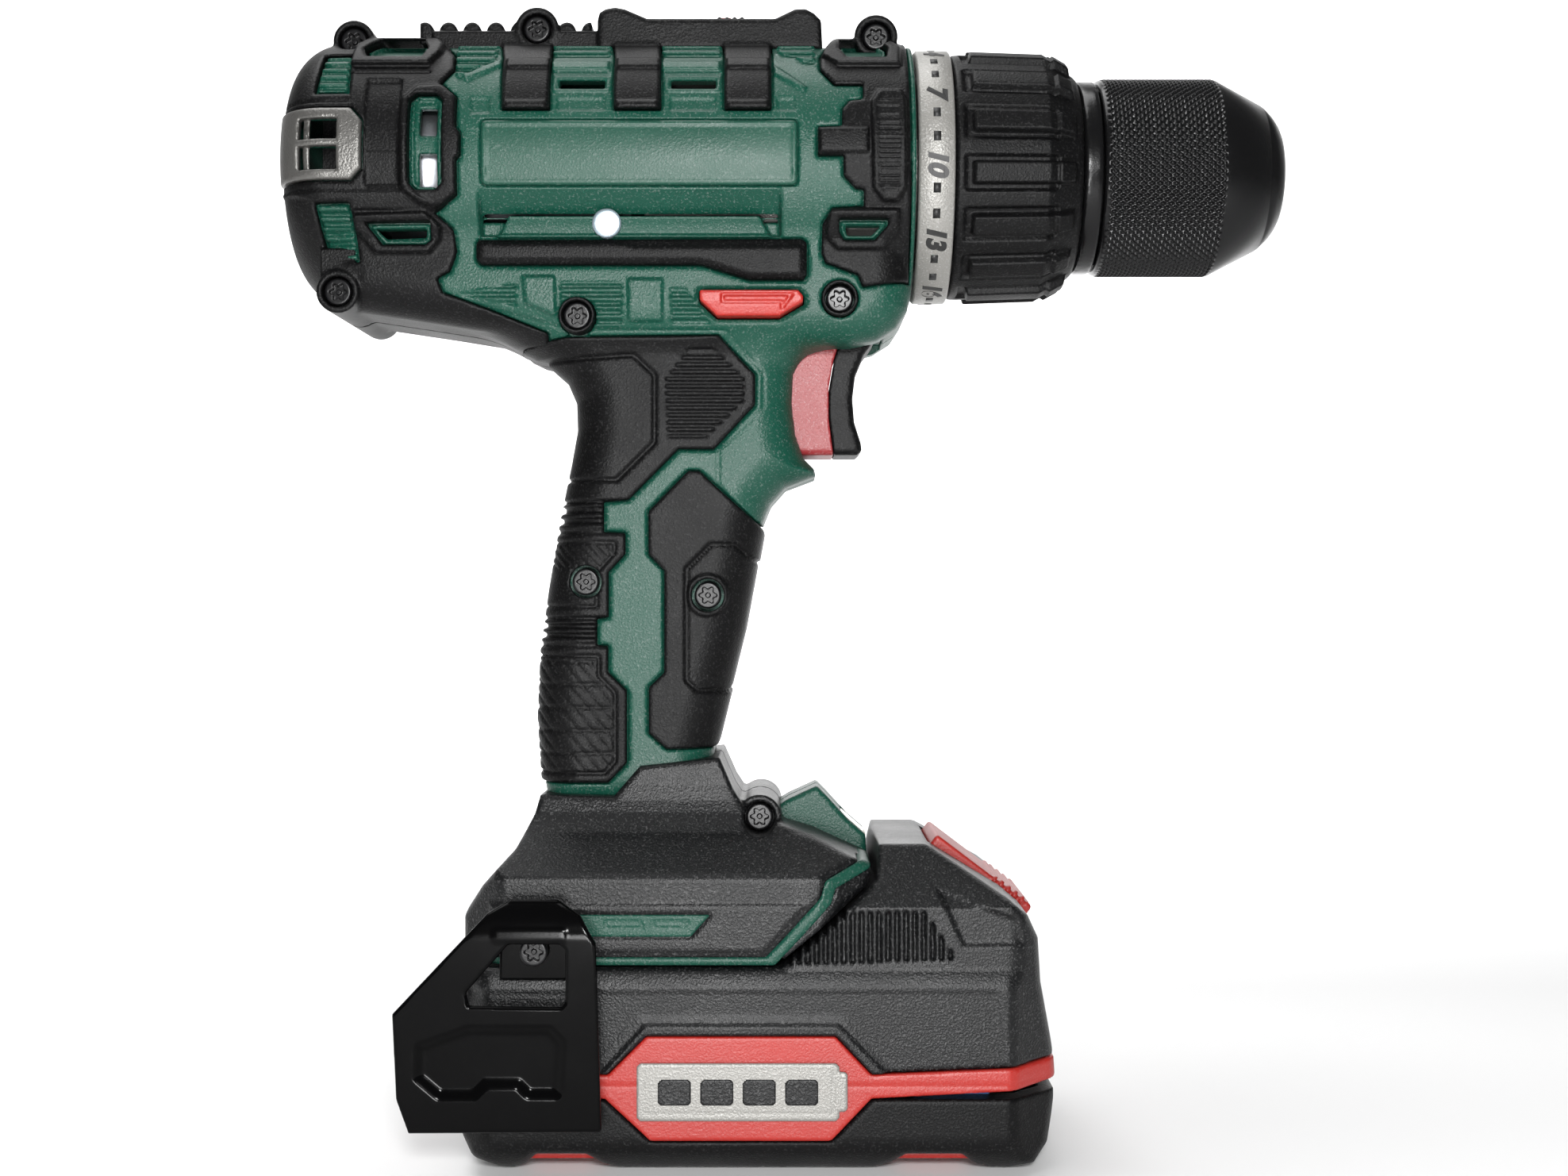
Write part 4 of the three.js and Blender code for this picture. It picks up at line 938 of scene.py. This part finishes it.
FOOT_HEIGHT = SideMap(foot_height)
INLAY_MAP = side_distance([(-50, 52.6), (-9.7, 52.6), (-13.6, 48.2), (-50, 48.2)])
INLAY_LINES = SideMap(lambda u, v: np.minimum(
    np.abs(outline_distance([(-30.6, 51.2), (-23.6, 51.2), (-23, 50), (-30.6, 50)], u, v)),
    np.abs(outline_distance([(-21.2, 51.2), (-14, 51.2), (-15.2, 50), (-21.2, 50)], u, v)),
))
STRIPE_MAP = SideMap(lambda u, v: line_distance(STRIPE, u, v) - 1.2)


def foot_body(x, y, z):
    front = outline_distance(FOOT_FRONT, y, z)
    top = outline_distance(FOOT_TOP, x, y)
    facets = both(both(FOOT_MAP(x, z), front, 1.0), top, 1.5)
    cx, _, cz = centre_mm(FOOT_SCREW)
    boss = both(np.hypot(x - cx, z - cz) - 4.6, np.abs(y) - 18, 0.6)
    return facets, join(facets, boss, 1.2)


def foot_field(x, y, z):
    _, foot = foot_body(x, y, z)
    foot = foot - FOOT_HEIGHT(x, z) * np.clip(-y - 20, 0, 1)
    wide = np.maximum.reduce([np.abs(y) - 21.3, 49.3 - z, z - 57.3, -50 - x])
    neck = np.maximum.reduce([np.abs(y) - 18.3, z - 50.5, -50 - x])
    foot = cut(foot, np.minimum(wide, neck), 0.3)
    foot = cut(foot, body_field(x, y, z) + 0.8, 0.2)
    cx, _, cz = centre_mm(FOOT_SCREW)
    foot = cut(foot, both(np.hypot(x - cx, z - cz) - 3.3, y + 14.6), 0.3)
    hollow = np.maximum.reduce([np.abs(y) - 14, x + 14, -40 - x, z - 70])
    foot = cut(foot, hollow)
    return closed_at_seam(foot, y)


def trim_strip_field(x, y, z):
    plain, _ = foot_body(x, y, z)
    layer = both(plain - 0.3, STRIPE_MAP(x, z), 0.3)
    return np.maximum(np.maximum(layer, -(plain + 1.0)), y + 12)


def inlay_field(x, y, z):
    plain, _ = foot_body(x, y, z)
    layer = both(plain - 0.35 + ramp(INLAY_LINES(x, z) - 0.2, 0.5, 0.4), INLAY_MAP(x, z), 0.2)
    return np.maximum(np.maximum(layer, -(plain + 0.8)), y + 20)


def make_foot():
    both_sides("foot_cover", foot_field, (-62, -38, 41), (25, 0, 84), "dark_plastic", step=STEP * 1.1)
    both_sides("foot_stripe", trim_strip_field, (-62, -38, 42), (24, -12, 64), "green_shell", in_cad=False)
    both_sides("foot_inlay", inlay_field, (-52, -38, 47), (-8, -30, 54), "green_shell", in_cad=False)
    low, high = corners_mm("lamp_lens")
    middle = (low + high) / 2

    def lens_field(x, y, z):
        tilt = (x - middle[0]) * 0.66 + (z - middle[2] - 1) * 0.75
        along = (z - middle[2] - 1) * 0.66 - (x - middle[0]) * 0.75
        return both(both(np.abs(tilt) - 0.9, np.abs(along) - 3.6, 0.4), np.abs(y) - 5.2, 0.6)
    solid("lamp_lens_shape", lens_field, low - 5, high + 6, "housing", "lens", ["lamp_lens"], FINE)


# ---- belt clip and screws ----
CLIP = [
    (-53, 54.1), (-48.8, 56.5), (-39.4, 56.5), (-34.8, 53.6), (-31.7, 48.4), (-30.6, 11.6), (-68.2, 11.4),
    (-70.6, 18), (-71.4, 34.6),
]
CLIP_WINDOW = [
    (-57, 38.8), (-56.4, 36.2), (-38.4, 36), (-37.6, 37), (-37.6, 47.2), (-38.8, 48.2), (-48.8, 48.2),
]
CLIP_PRESS = [
    (-65.6, 27.8), (-56.4, 31), (-41, 31), (-39, 29), (-39.6, 19.6), (-44.6, 19.6), (-46.6, 21.6),
    (-53.4, 21.6), (-55.6, 19.4), (-62, 19.4), (-65.8, 22.6),
]
CLIP_MAP = side_distance(CLIP)
CLIP_WINDOW_MAP = side_distance(CLIP_WINDOW)
CLIP_PRESS_MAP = side_distance(CLIP_PRESS)


def clip_field(x, y, z):
    face = corners_mm("belt_clip")[0][1]
    bend = 2.8 * np.clip((z - 49) / 7, 0, 1) ** 2
    sunk = ramp(CLIP_PRESS_MAP(x, z) - 0.6, 1.1, 2.4)
    depth = np.abs(y - (face + CLIP_SHEET / 2) - bend - sunk) - CLIP_SHEET / 2
    outline = cut(CLIP_MAP(x, z), CLIP_WINDOW_MAP(x, z))
    plate = both(depth, outline, 0.55)
    tab = both(np.abs(y + 37.3) - 0.75, outline_distance(box_outline(-51.4, -37.8, 40, 50.8), x, z), 0.4)
    strip = outline_distance(box_outline(face + 0.4, -36.6, 49.2, 50.8), y, z)
    fold = both(strip, np.abs(x + 44.6) - 6.8, 0.4)
    whole = join(join(plate, fold, 1.0), tab, 0.8)
    cx, _, cz = centre_mm("clip_screw")
    return cut(whole, both(np.hypot(x - cx, z - cz) - 2.0, np.abs(y + 37) - 2))


def screw_mesh():
    def field(x, y, z):
        radius = np.hypot(x, z)
        angle = np.arctan2(z, x)
        head = both(radius - SCREW_RADIUS, np.abs(y - 1.2) - 1.2, 0.5)
        star = radius - 1.55 - 0.32 * np.cos(6 * angle)
        recess = both(star, y - 1.5)
        pin = both(radius - 0.5, y - 2.6)
        return np.minimum(cut(head, recess, 0.15), both(pin, -(y - 0.6)))
    return field_mesh("screw_shape", field, (-3, -0.2, -3), (3, 2.6, 3), 0.12)


def make_clip_and_screws():
    low, high = (-73, -46, 10), (-29, -36, 58)
    solid("belt_clip_shape", clip_field, low, high, "housing", "clip_black", ["belt_clip"], STEP * 0.8)
    shared = screw_mesh()
    shared.materials.append(MATERIALS["screw_steel"])
    for node in [f"screw_{i}" for i in range(1, 10)] + ["clip_screw"]:
        low, high = corners_mm(node)
        obj = bpy.data.objects.new(f"{node}_shape", shared)
        bpy.context.scene.collection.objects.link(obj)
        obj.location = ((low[0] + high[0]) / 2 * MM, low[1] * MM, (low[2] + high[2]) / 2 * MM)
        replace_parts(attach(obj, "housing"), node)
    for node in BELLY_SCREWS:
        cx, _, cz = centre_mm(node)

        def tube(x, y, z, cx=cx, cz=cz):
            radius = np.hypot(x - cx, z - cz)
            return both(both(radius - 3.7, 3.05 - radius, 0.2), np.abs(y + 20.6) - 2.6, 0.3)
        low, high = (cx - 5, -25, cz - 5), (cx + 5, -17, cz + 5)
        solid(f"{node}_sleeve", tube, low, high, "housing", "rubber", step=STEP * 0.8)


# ---- chuck and torque ring ----
RING_LOW, RING_HIGH = corners_mm("torque_ring")
BAND_LOW, BAND_HIGH = corners_mm("scale_band")
SLEEVE_NOSE = corners_mm("chuck_sleeve")[1][0]
COLLAR_LOW = corners_mm("chuck_body")[0]
KNURL_REAR = 71.7
JAW_RADIUS = 3.0
JAW_LIFT = 1.8
RING_BARS = 15
RING_FIRST_BAR = math.radians(-8.5)
KNURL_COUNT = 78


def ring_height(x, angle):
    """Narrow bars with a hollow each side, standing on a smooth ring."""
    turn = ((angle - RING_FIRST_BAR) / (2 * math.pi) * RING_BARS + 0.5) % 1
    across = np.abs(turn - 0.5) * 2 * math.pi * 26.5 / RING_BARS
    bar = both(across - 2.2, np.maximum(44.0 - x, x - 65.2), 0.3)
    hollow = both(across - 3.7, np.maximum(42.2 - x, x - 61.5), 0.6)
    return ramp(bar, 1.9, 0.7) - ramp(hollow, 0.9, 0.9)


def make_motor_ring():
    """The bright flux ring round the motor, seen through the side vents, and a black wall behind it
    that keeps the two sides' vents apart: painted shade for the dark inside of the housing."""
    # a black sheet in the middle plane, painted shade for the unlit inside seen through the vents
    def baffle(x, y, z):
        return both(both(np.abs(y) - 0.8, np.hypot(x + 89, z - AXIS_Z) - 20, 0.2), x + 89.5, 0.2)
    low, high = (-99, -1, AXIS_Z - 20), (-89, 1, AXIS_Z + 20)
    solid("vent_shade_baffle", baffle, low, high, "housing", "rubber")
    profile = [(-77, 21.6, 0), (-62, 21.6, 0), (-62, 22.4, 0), (-77, 22.4, 0)]
    piece(turned_mesh("motor_flux_ring", profile, None, 120), "housing", "steel")


def make_ring():
    rear, front = RING_LOW[0], RING_HIGH[0]
    profile = [
        (rear, 20, 0), (rear, 25.2, 0), (rear + 0.5, 25.9, 0), (rear + 2.2, 26.0, 1), (59.6, 25.4, 1),
        (65.0, 22.4, 1), (front - 0.6, 21.6, 0), (front, 21.0, 0), (front, 20, 0),
    ]
    ring = turned_mesh("torque_ring_shape", profile, ring_height, 720, 0.35)
    piece(ring, "torque_ring", "rubber", ["torque_ring"])
    rear, front = BAND_LOW[0], BAND_HIGH[0]
    profile = [
        (rear, 20, 0), (rear, 26.3, 0), (rear + 0.5, 26.9, 0), (front - 0.4, 26.9, 0), (front, 26.5, 0),
        (front, 20, 0),
    ]
    piece(turned_mesh("scale_band_shape", profile, None, 240), "torque_ring", "band_silver", ["scale_band"])


def wrap_on_band(obj, angle):
    """Bends a flat text mesh, drawn round the axis, on to the numbered band."""
    middle = (BAND_LOW[0] + BAND_HIGH[0]) / 2
    radius = 26.97
    for vertex in obj.data.vertices:
        u, v, w = vertex.co / MM
        turn = angle + u / radius
        lift = radius + w
        vertex.co = (
            (middle + v) * MM, -lift * math.cos(turn) * MM, (AXIS_Z - lift * math.sin(turn)) * MM,
        )


def ink_text(body, size):
    curve = bpy.data.curves.new(f"numeral_{body}", "FONT")
    curve.body = body
    curve.size = size * MM
    curve.extrude = 0.05 * MM
    curve.offset = 0.3 * MM
    curve.shear = 0.25
    curve.align_x = "CENTER"
    curve.align_y = "CENTER"
    obj = bpy.data.objects.new(f"numeral_{body}", curve)
    bpy.context.scene.collection.objects.link(obj)
    bpy.context.view_layer.update()
    mesh = bpy.data.meshes.new_from_object(obj)
    bpy.data.objects.remove(obj)
    return mesh


def ink_dash():
    half_u, half_v, depth = 1.0, 0.75, 0.05
    corners = np.array([
        (u, v, w) for w in (-depth, depth) for v in (-half_v, half_v) for u in (-half_u, half_u)
    ])
    quads = np.array([(0, 2, 3, 1), (4, 5, 7, 6), (0, 1, 5, 4), (2, 6, 7, 3), (0, 4, 6, 2), (1, 3, 7, 5)])
    return new_mesh("dash", corners, quads)


def make_scale():
    """Numerals at every third setting, with dashes for the settings between them."""
    settings = range(1, 25)
    pitch = math.radians(11.2)
    zero = math.radians(4.0)
    for setting in settings:
        angle = zero + (setting - 10) * pitch
        numbered = setting % 3 == 1
        mesh = ink_text(str(setting), 5.4) if numbered else ink_dash()
        mesh.materials.clear()
        obj = bpy.data.objects.new(f"scale_{setting:02d}", mesh)
        bpy.context.scene.collection.objects.link(obj)
        wrap_on_band(obj, angle)
        mesh.materials.append(INK)
        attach(obj, "torque_ring")


def knurl(x, angle):
    """Two crossed sets of slanting grooves."""
    twist = x / 20.8
    first = np.abs(np.sin(KNURL_COUNT / 2 * (angle + twist)))
    second = np.abs(np.sin(KNURL_COUNT / 2 * (angle - twist)))
    return 0.8 * np.minimum(first, second) - 0.45


def jaw_distance(i, x, y, z):
    """Distance from the line along which a jaw slides."""
    axis = np.array(JOINTS[f"jaw_{i}_slide"]["axis"])
    outward = np.array([0, -axis[1], -axis[2]]) / math.hypot(axis[1], axis[2])
    tip = corners_mm("jaw_1")
    start = np.array([tip[1][0], 0, AXIS_Z]) + outward * (tip[0][2] - AXIS_Z + JAW_LIFT)
    dx, dy, dz = x - start[0], y - start[1], z - start[2]
    along = dx * axis[0] + dy * axis[1] + dz * axis[2]
    return np.sqrt(np.maximum(dx * dx + dy * dy + dz * dz - along * along, 0))


def make_chuck():
    rear, nose = KNURL_REAR, SLEEVE_NOSE
    cone = 97.0
    columns = 1100
    profile = [
        (rear, 18.6, 0), (rear, 20.2, 0), (rear + 0.5, 20.7, 0), (rear + 1.2, 20.8, 0),
        (rear + 1.3, 20.75, 1), (cone - 0.6, 20.75, 1), (cone - 0.4, 20.8, 0), (cone, 20.9, 0),
        (107.2, 15.6, 0), (107.4, 15.2, 0), (107.7, 15.2, 0), (109.4, 13.6, 0), (110.6, 12.0, 0),
        (111.3, 10.6, 0), (nose, 9.8, 0), (nose, 7.9, 0), (109, 7.9, 0), (109, 11, 0),
        (cone + 0.4, 18.6, 0),
    ]
    sleeve = turned_mesh("chuck_sleeve_shape", profile, knurl, columns, 0.32)
    piece(sleeve, "chuck_sleeve", "chuck_steel", ["chuck_sleeve"])

    rear = COLLAR_LOW[0]
    split = KNURL_REAR - GAP

    def body(x, y, z):
        radius = np.hypot(y, z - AXIS_Z)
        collar = both(radius - 20.5, np.abs(x - (rear + split) / 2) - (split - rear) / 2, 0.8)
        core = both(radius - 18.1, np.abs(x - 88) - 20.4, 0.3)
        core = both(core, radius - 18.1 + (x - 97) * 0.66, 0.3)
        bore = both(radius - 6.9, 80 - x, 0.3)
        whole = cut(np.minimum(collar, core), bore, 0.4)
        for i in (1, 2, 3):
            whole = cut(whole, both(jaw_distance(i, x, y, z) - JAW_RADIUS - GAP, 69.1 - x))
        return whole
    low, high = (rear, -21, AXIS_Z - 21), (109, 21, AXIS_Z + 21)
    solid("chuck_body_shape", body, low, high, "spindle", "chuck_steel", ["chuck_body"], STEP * 1.3)


# ---- controls ----
TRIGGER = [
    (-3, 147), (-3, 168), (6, 170.6), (24.4, 170.6), (22, 167.4), (20.2, 163), (19.6, 158), (20, 153),
    (21.4, 148.6), (21.6, 147), (20.6, 146), (8, 146),
]
TRIGGER_SPLIT = [
    (40, 172), (17.6, 172), (15.6, 166), (14.6, 160), (14.6, 154), (15.6, 146), (15.6, 144), (40, 144),
]
TRIGGER_MAP = side_distance(TRIGGER)
TRIGGER_SPLIT_MAP = side_distance(TRIGGER_SPLIT)
HEX_MAP = side_distance(SELECTOR)
ARROW_MAP = SideMap(lambda u, v: np.abs(outline_distance([
    (-7.6, 177.9), (4.6, 177.9), (6.6, 177.9), (4.6, 175.1), (4.6, 176.4), (-7.6, 176.4),
], u, v)) - 0.3)


def make_controls():
    def trigger(x, y, z):
        whole = both(TRIGGER_MAP(x, z), np.abs(y) - 8.9, 1.6)
        return cut(whole, TRIGGER_SPLIT_MAP(x, z) - 0.12, 0.15)

    def soft_front(x, y, z):
        whole = both(TRIGGER_MAP(x, z), np.abs(y) - 8.9, 1.6)
        return both(whole, TRIGGER_SPLIT_MAP(x, z) + 0.05, 0.3)
    low, high = (-4, -10, 145), (25, 10, 172)
    step = STEP * 0.8
    solid("trigger_shape", trigger, low, high, "trigger", "trigger_red", ["trigger"], step)
    solid("trigger_pad_shape", soft_front, low, high, "trigger", "rubber", ["trigger_pad"], step)

    half = corners_mm("direction_selector")[1][1]

    def selector(x, y, z):
        face = HEX_MAP(x, z)
        slab = np.abs(y) - half + 0.9 * np.clip((176.6 - z) / 3, 0, 1)
        return both(both(slab, face, 0.5), slab + ramp(ARROW_MAP(x, z), 0.4, 0.3))
    node, low, high = "direction_selector", (-13, -26, 173), (10, 26, 180)
    solid("direction_selector_shape", selector, low, high, node, "red", [node], FINE)

    low, high = corners_mm("speed_selector")

    def speed(x, y, z):
        sides = both(np.abs(x - (low[0] + high[0]) / 2) - 9, np.abs(y) - 8, 0.5)
        block = both(sides, np.abs(z - 234.2) - 4.6, 0.5)
        grip = both(np.abs(z - 236) - 4.4 + 0.02 * y * y, np.abs(x + 6.5) - 3.4, 0.6)
        ribs = ramp(np.abs((x % 1.6) - 0.8) - 0.3, 0.35, 0.4)
        return join(block, both(grip - ribs, np.abs(y) - 7, 0.5), 0.4)
    node = "speed_selector"
    solid("speed_selector_shape", speed, low - 1, high + 1, node, "rubber", [node], FINE)

    def mark(x, y, z):
        return both(both(np.abs(x + 7.6) - 1.2, np.abs(y) - 2.4, 0.3), np.abs(z - 240.3) - 0.7, 0.3)
    solid("speed_mark_shape", mark, (-10, -3, 239), (-5, 3, 242), node, "red", step=STEP * 0.6)


# ---- battery ----
CASE_LOW, CASE_HIGH = corners_mm("battery_case")
CASE_SIDE = [
    (-60.6, 18.5), (60.4, 18.5), (59.8, 24), (57, 38), (56.4, 47), (54, 52), (50, 55.4), (34, 65.2),
    (24.6, 65.2), (23.6, 58.6), (4.4, 42), (-60.6, 42),
]
CASE_FRONT = [
    (-37.5, 12), (37.5, 12), (37.5, 38), (35.6, 41.6), (35.4, 54), (28, 60), (22, 65.4), (-22, 65.4),
    (-28, 60), (-35.4, 54), (-35.6, 41.6), (-37.5, 38),
]
PLAN = [
    (-60.6, -31), (-54, -37.6), (50, -37.6), (60.5, -27), (60.5, 27), (50, 37.6), (-54, 37.6), (-60.6, 31),
]
BASE_SIDE = [
    (-60.6, 20), (-60.6, 8), (-58, 4), (-52.6, 0.4), (-50, 0), (-47.4, 1.4), (-44.6, 4.4), (-34.6, 4.4),
    (-31.2, 1.4), (-28.4, 0), (22.8, 0), (26, 1.4), (29.4, 4.4), (40.6, 4.4), (43.4, 1.6), (46.4, 0.2),
    (50.6, 0), (55.4, 1.6), (58.6, 5), (60.4, 14), (60.4, 20),
]
HEXAGON = [
    (-36, 21), (-30, 21), (-22.4, 28.6), (15.2, 28.6), (22.4, 21), (22.4, 16.2), (14.4, 7.8), (-21.6, 7.8),
    (-30.6, 16.2), (-36, 16.2),
]
BAND = [(-64, 16.4), (-30.6, 16.4), (-30.6, 21), (-64, 21)]
BAND_FRONT = [(22, 16.2), (64, 18.4), (64, 22.8), (22, 21)]
HEX_BORDER = [(-40, 21), (-31.4, 21.2), (-22.6, 31), (15.8, 31), (25.2, 21.4), (25.2, 19), (-40, 19)]
VENT_TRAPEZE = [(3, 41.8), (12, 53.6), (33.4, 53.8), (40.6, 43)]
CASE_MAP = side_distance(CASE_SIDE)
BASE_MAP = side_distance(BASE_SIDE)
RED_MAP = side_distance(HEXAGON, BAND, BAND_FRONT)


def case_height(u, v):
    height = np.zeros_like(u)
    border = outline_distance(HEX_BORDER, u, v)
    height += ramp(border, 1.0, 0.9)
    panel = [
        (-58, 37.6), (47.6, 37.8), (49.4, 20.5), (27, 20.5), (17, 32.4), (-24, 32.4), (-34, 22), (-58, 22),
    ]
    height -= relief_over(panel, u, v, 0.35, 0.4)
    vents = outline_distance(VENT_TRAPEZE, u, v)
    height -= ramp(vents + 0.6, 1.0, 0.4) * stripes(u, 1.78, 1.4, 0.42)
    facet = [(36, 57), (51.4, 51.6), (53, 46.6), (40.8, 46.4)]
    height -= relief_over(facet, u, v, 0.7, 0.8)
    return height


CASE_HEIGHT = SideMap(case_height)


def battery_body(x, y, z):
    """The whole battery's outer shape: case, band and base in one."""
    plan = outline_distance(PLAN, x, y)
    front = outline_distance(CASE_FRONT, y, z)
    upper = both(both(CASE_MAP(x, z), front, 1.2), plan, 1.6)
    edge = np.abs(y) - BATTERY_HALF + np.clip(9 - z, 0, 9) ** 2 * 0.11
    lower = both(both(BASE_MAP(x, z), plan, 2.0), edge, 2.0)
    return upper, lower


def button_axes(x, z):
    low, high = corners_mm("battery_button")
    middle = (low + high) / 2
    push = JOINTS["battery_button_press"]["axis"]
    across = (x - middle[0]) * -push[0] + (z - middle[2]) * -push[2]
    along = (x - middle[0]) * -push[2] - (z - middle[2]) * -push[0]
    return across, along


def case_field(x, y, z):
    upper, _ = battery_body(x, y, z)
    relief = CASE_HEIGHT(x, z) * np.clip(np.abs(y) - 20, 0, 1)
    case = upper - relief
    across, along = button_axes(x, z)
    pocket = np.maximum.reduce([np.abs(y) - 13.6, np.abs(along - 0.6) - 13.8, -across - 6.2])
    case = cut(case, pocket, 0.5)
    case = cut(case, RED_MAP(x, z) - 0.25, 0.25)
    rail = np.maximum.reduce([np.abs(y) - 21, 49.6 - z, z - 57, x - 26, -36.6 - x])
    neck = np.maximum.reduce([np.abs(y) - 18, 40 - z, z - 50.6, x - 26, -36.6 - x])
    slot = np.abs(np.abs(np.abs(y) - 8) - 4) - 0.9
    slots = np.maximum.reduce([slot, np.abs(y) - 14, 50.2 - z, x + 20])
    rails = cut(np.minimum(rail, neck), slots)
    case = join(case, rails, 0.4)
    inner = np.maximum.reduce([outline_distance(PLAN, x, y) + 3, np.abs(y) - 33, np.abs(x) - 53, z - 39])
    return np.maximum(cut(case, inner), 20.8 - z)


def band_field(x, y, z):
    upper, lower = battery_body(x, y, z)
    skin = np.minimum(upper, lower)
    layer = both(skin - 0.25, RED_MAP(x, z) + 0.05, 0.4)
    inner = np.maximum(outline_distance(PLAN, x, y) + 2.2, np.abs(y) - 35.2)
    return cut(layer, inner)


def base_field(x, y, z):
    _, lower = battery_body(x, y, z)
    base = cut(lower, both(RED_MAP(x, z) - 0.25, 35.3 - np.abs(y)), 0.25)
    inner = np.maximum.reduce([outline_distance(PLAN, x, y) + 4, np.abs(y) - 31, 6 - z])
    return both(cut(base, inner), z - 16.0, 0.3)


def pair_on_battery(name, field, low, high, slot):
    mesh = field_mesh(f"{name}_shape", field, low, high, FINE)
    for side in (mesh, mirrored_mesh(mesh, f"{name}_left_shape")):
        piece(side, "battery", slot)


def make_battery_layers():
    low, high = CASE_LOW - 2, CASE_HIGH + 2
    step = STEP * 1.2
    layers = [
        ("case", case_field, 19, high[2], "dark_plastic"), ("band", band_field, 6, 31, "red"),
        ("base", base_field, -0.4, 17, "rubber"),
    ]
    for name, field, bottom, top, slot in layers:
        name, start, end = f"battery_{name}", (low[0], low[1], bottom), (high[0], high[1], top)
        solid(f"{name}_shape", field, start, end, "battery", slot, [name], step)

    def strip(x, y, z):
        between = np.minimum(np.abs(x + 39.6) - 9, np.abs(x - 35) - 9)
        return np.maximum.reduce([between, np.abs(y) - 31, 2.6 - z, z - 5.4])
    solid("battery_strip_shape", strip, (-50, -32, 2), (46, 32, 6), "battery", "red", step=step)


def make_badge():
    """A plain plate with four bars on each side of the battery."""
    badge = box_outline(-24.2, 16, 12.1, 23.5, 0.7)
    badge_map = side_distance(badge, box_outline(15, 17.6, 14, 21.8, 0.5))
    rim_map = SideMap(lambda u, v: np.abs(outline_distance(box_outline(-22.8, 14.8, 13.5, 22.2, 0.4), u, v)))

    def badge_field(x, y, z):
        layer = both(np.abs(y + BADGE_FACE) - 0.45, badge_map(x, z), 0.2)
        return cut(layer, both(rim_map(x, z) - 0.14, y + 38.1))
    pair_on_battery("battery_badge", badge_field, (-26, -39, 11), (19, -36, 25), "band_silver")
    bars = [box_outline(-20 + i * 8.4, -13.4 + i * 8.4, 15.2, 20.4, 0.6) for i in range(4)]
    bar_map = side_distance(*bars)

    def charge_field(x, y, z):
        return both(np.abs(y + 38.2) - 0.25, bar_map(x, z), 0.15)
    pair_on_battery("battery_bars", charge_field, (-22, -39, 14), (14, -37, 22), "dark_plastic")


def make_battery_button():
    def button(x, y, z):
        across, along = button_axes(x, z)
        slab = both(both(np.abs(across) - 1.6, np.abs(along) - 12.6, 0.7), np.abs(y) - 13, 0.7)
        ribs = ramp(np.abs(along - 7) - 4.4, 1.0, 0.6) * stripes(along, 1.8, 0.6)
        return slab - ribs * np.clip(across, 0, 1)
    low, high = corners_mm("battery_button")
    node = "battery_button"
    solid("battery_button_shape", button, low - 1, high + 1, node, "red", [node], STEP * 0.8)


def paint_cad_nodes():
    """CAD nodes that are shown as they are get the same materials as the new pieces."""
    slots = {part["node"]: part["material_slot"] for part in frame["record"]["subparts"]}
    for name, node in frame["nodes"].items():
        node.data.materials.clear()
        node.data.materials.append(MATERIALS[slots[name]])


# ---- stage ----
# name, place, target, size and power
LAMPS = [
    ("flash", (0.03, -0.62, 0.26), (0, 0, 0.13), 0.1, 3.6),
    ("low_front", (-0.04, -0.6, 0.03), (0, 0, 0.05), 0.12, 2.4),
    ("top", (-0.2, 0.1, 1.1), (0, 0, 0.12), 0.8, 9),
    ("wall", (0, 0.9, 1.4), (0, 2.4, 0.6), 1.6, 70),
]


def make_stage():
    white = bpy.data.materials.new("backdrop")
    white.use_nodes = True
    white.node_tree.nodes["Principled BSDF"].inputs["Base Color"].default_value = (0.9, 0.9, 0.9, 1)
    white.node_tree.nodes["Principled BSDF"].inputs["Roughness"].default_value = 0.8
    wall, curve, rows = 1.6, 0.8, 16
    points = [(-6.0, 0.0)] + [
        (wall + curve * math.sin(a), curve - curve * math.cos(a))
        for a in (i * math.pi / 2 / rows for i in range(rows + 1))
    ] + [(wall + curve, 6.0)]
    vertices = [(x, y, z) for y, z in points for x in (-8.0, 8.0)]
    faces = [(2 * i, 2 * i + 1, 2 * i + 3, 2 * i + 2) for i in range(len(points) - 1)]
    mesh = bpy.data.meshes.new("backdrop")
    mesh.from_pydata(vertices, [], faces)
    mesh.shade_smooth()
    mesh.materials.append(white)
    backdrop = bpy.data.objects.new("backdrop", mesh)
    bpy.context.scene.collection.objects.link(backdrop)

    world = bpy.data.worlds.new("studio")
    world.use_nodes = True
    world.node_tree.nodes["Background"].inputs["Color"].default_value = (1, 1, 1, 1)
    world.node_tree.nodes["Background"].inputs["Strength"].default_value = 0.14
    bpy.context.scene.world = world
    for settings in LAMPS:
        lamp(*settings)


def lamp(name, place, target, size, power):
    light = bpy.data.lights.new(name, "AREA")
    light.size = size
    light.energy = power
    obj = bpy.data.objects.new(name, light)
    bpy.context.scene.collection.objects.link(obj)
    obj.location = place
    direction = np.array(target) - np.array(place)
    obj.rotation_euler = (
        math.atan2(math.hypot(direction[0], direction[1]), -direction[2]), 0,
        math.atan2(direction[1], direction[0]) - math.pi / 2,
    )


def make_camera():
    camera = bpy.data.cameras.new("camera")
    camera.sensor_width = CAMERA["sensor"]
    camera.lens = CAMERA["lens"]
    camera.clip_start = 0.01
    obj = bpy.data.objects.new("camera", camera)
    bpy.context.scene.collection.objects.link(obj)
    obj.location = CAMERA["place"]
    obj.rotation_euler = (math.pi / 2, 0, 0)
    bpy.context.scene.camera = obj
    bpy.context.scene.view_settings.view_transform = "Standard"


paint_cad_nodes()
make_housing()
make_soft_parts()
make_trim()
make_foot()
make_clip_and_screws()
make_motor_ring()
make_ring()
make_scale()
make_chuck()
make_controls()
make_battery_layers()
make_badge()
make_battery_button()
make_stage()
make_camera()
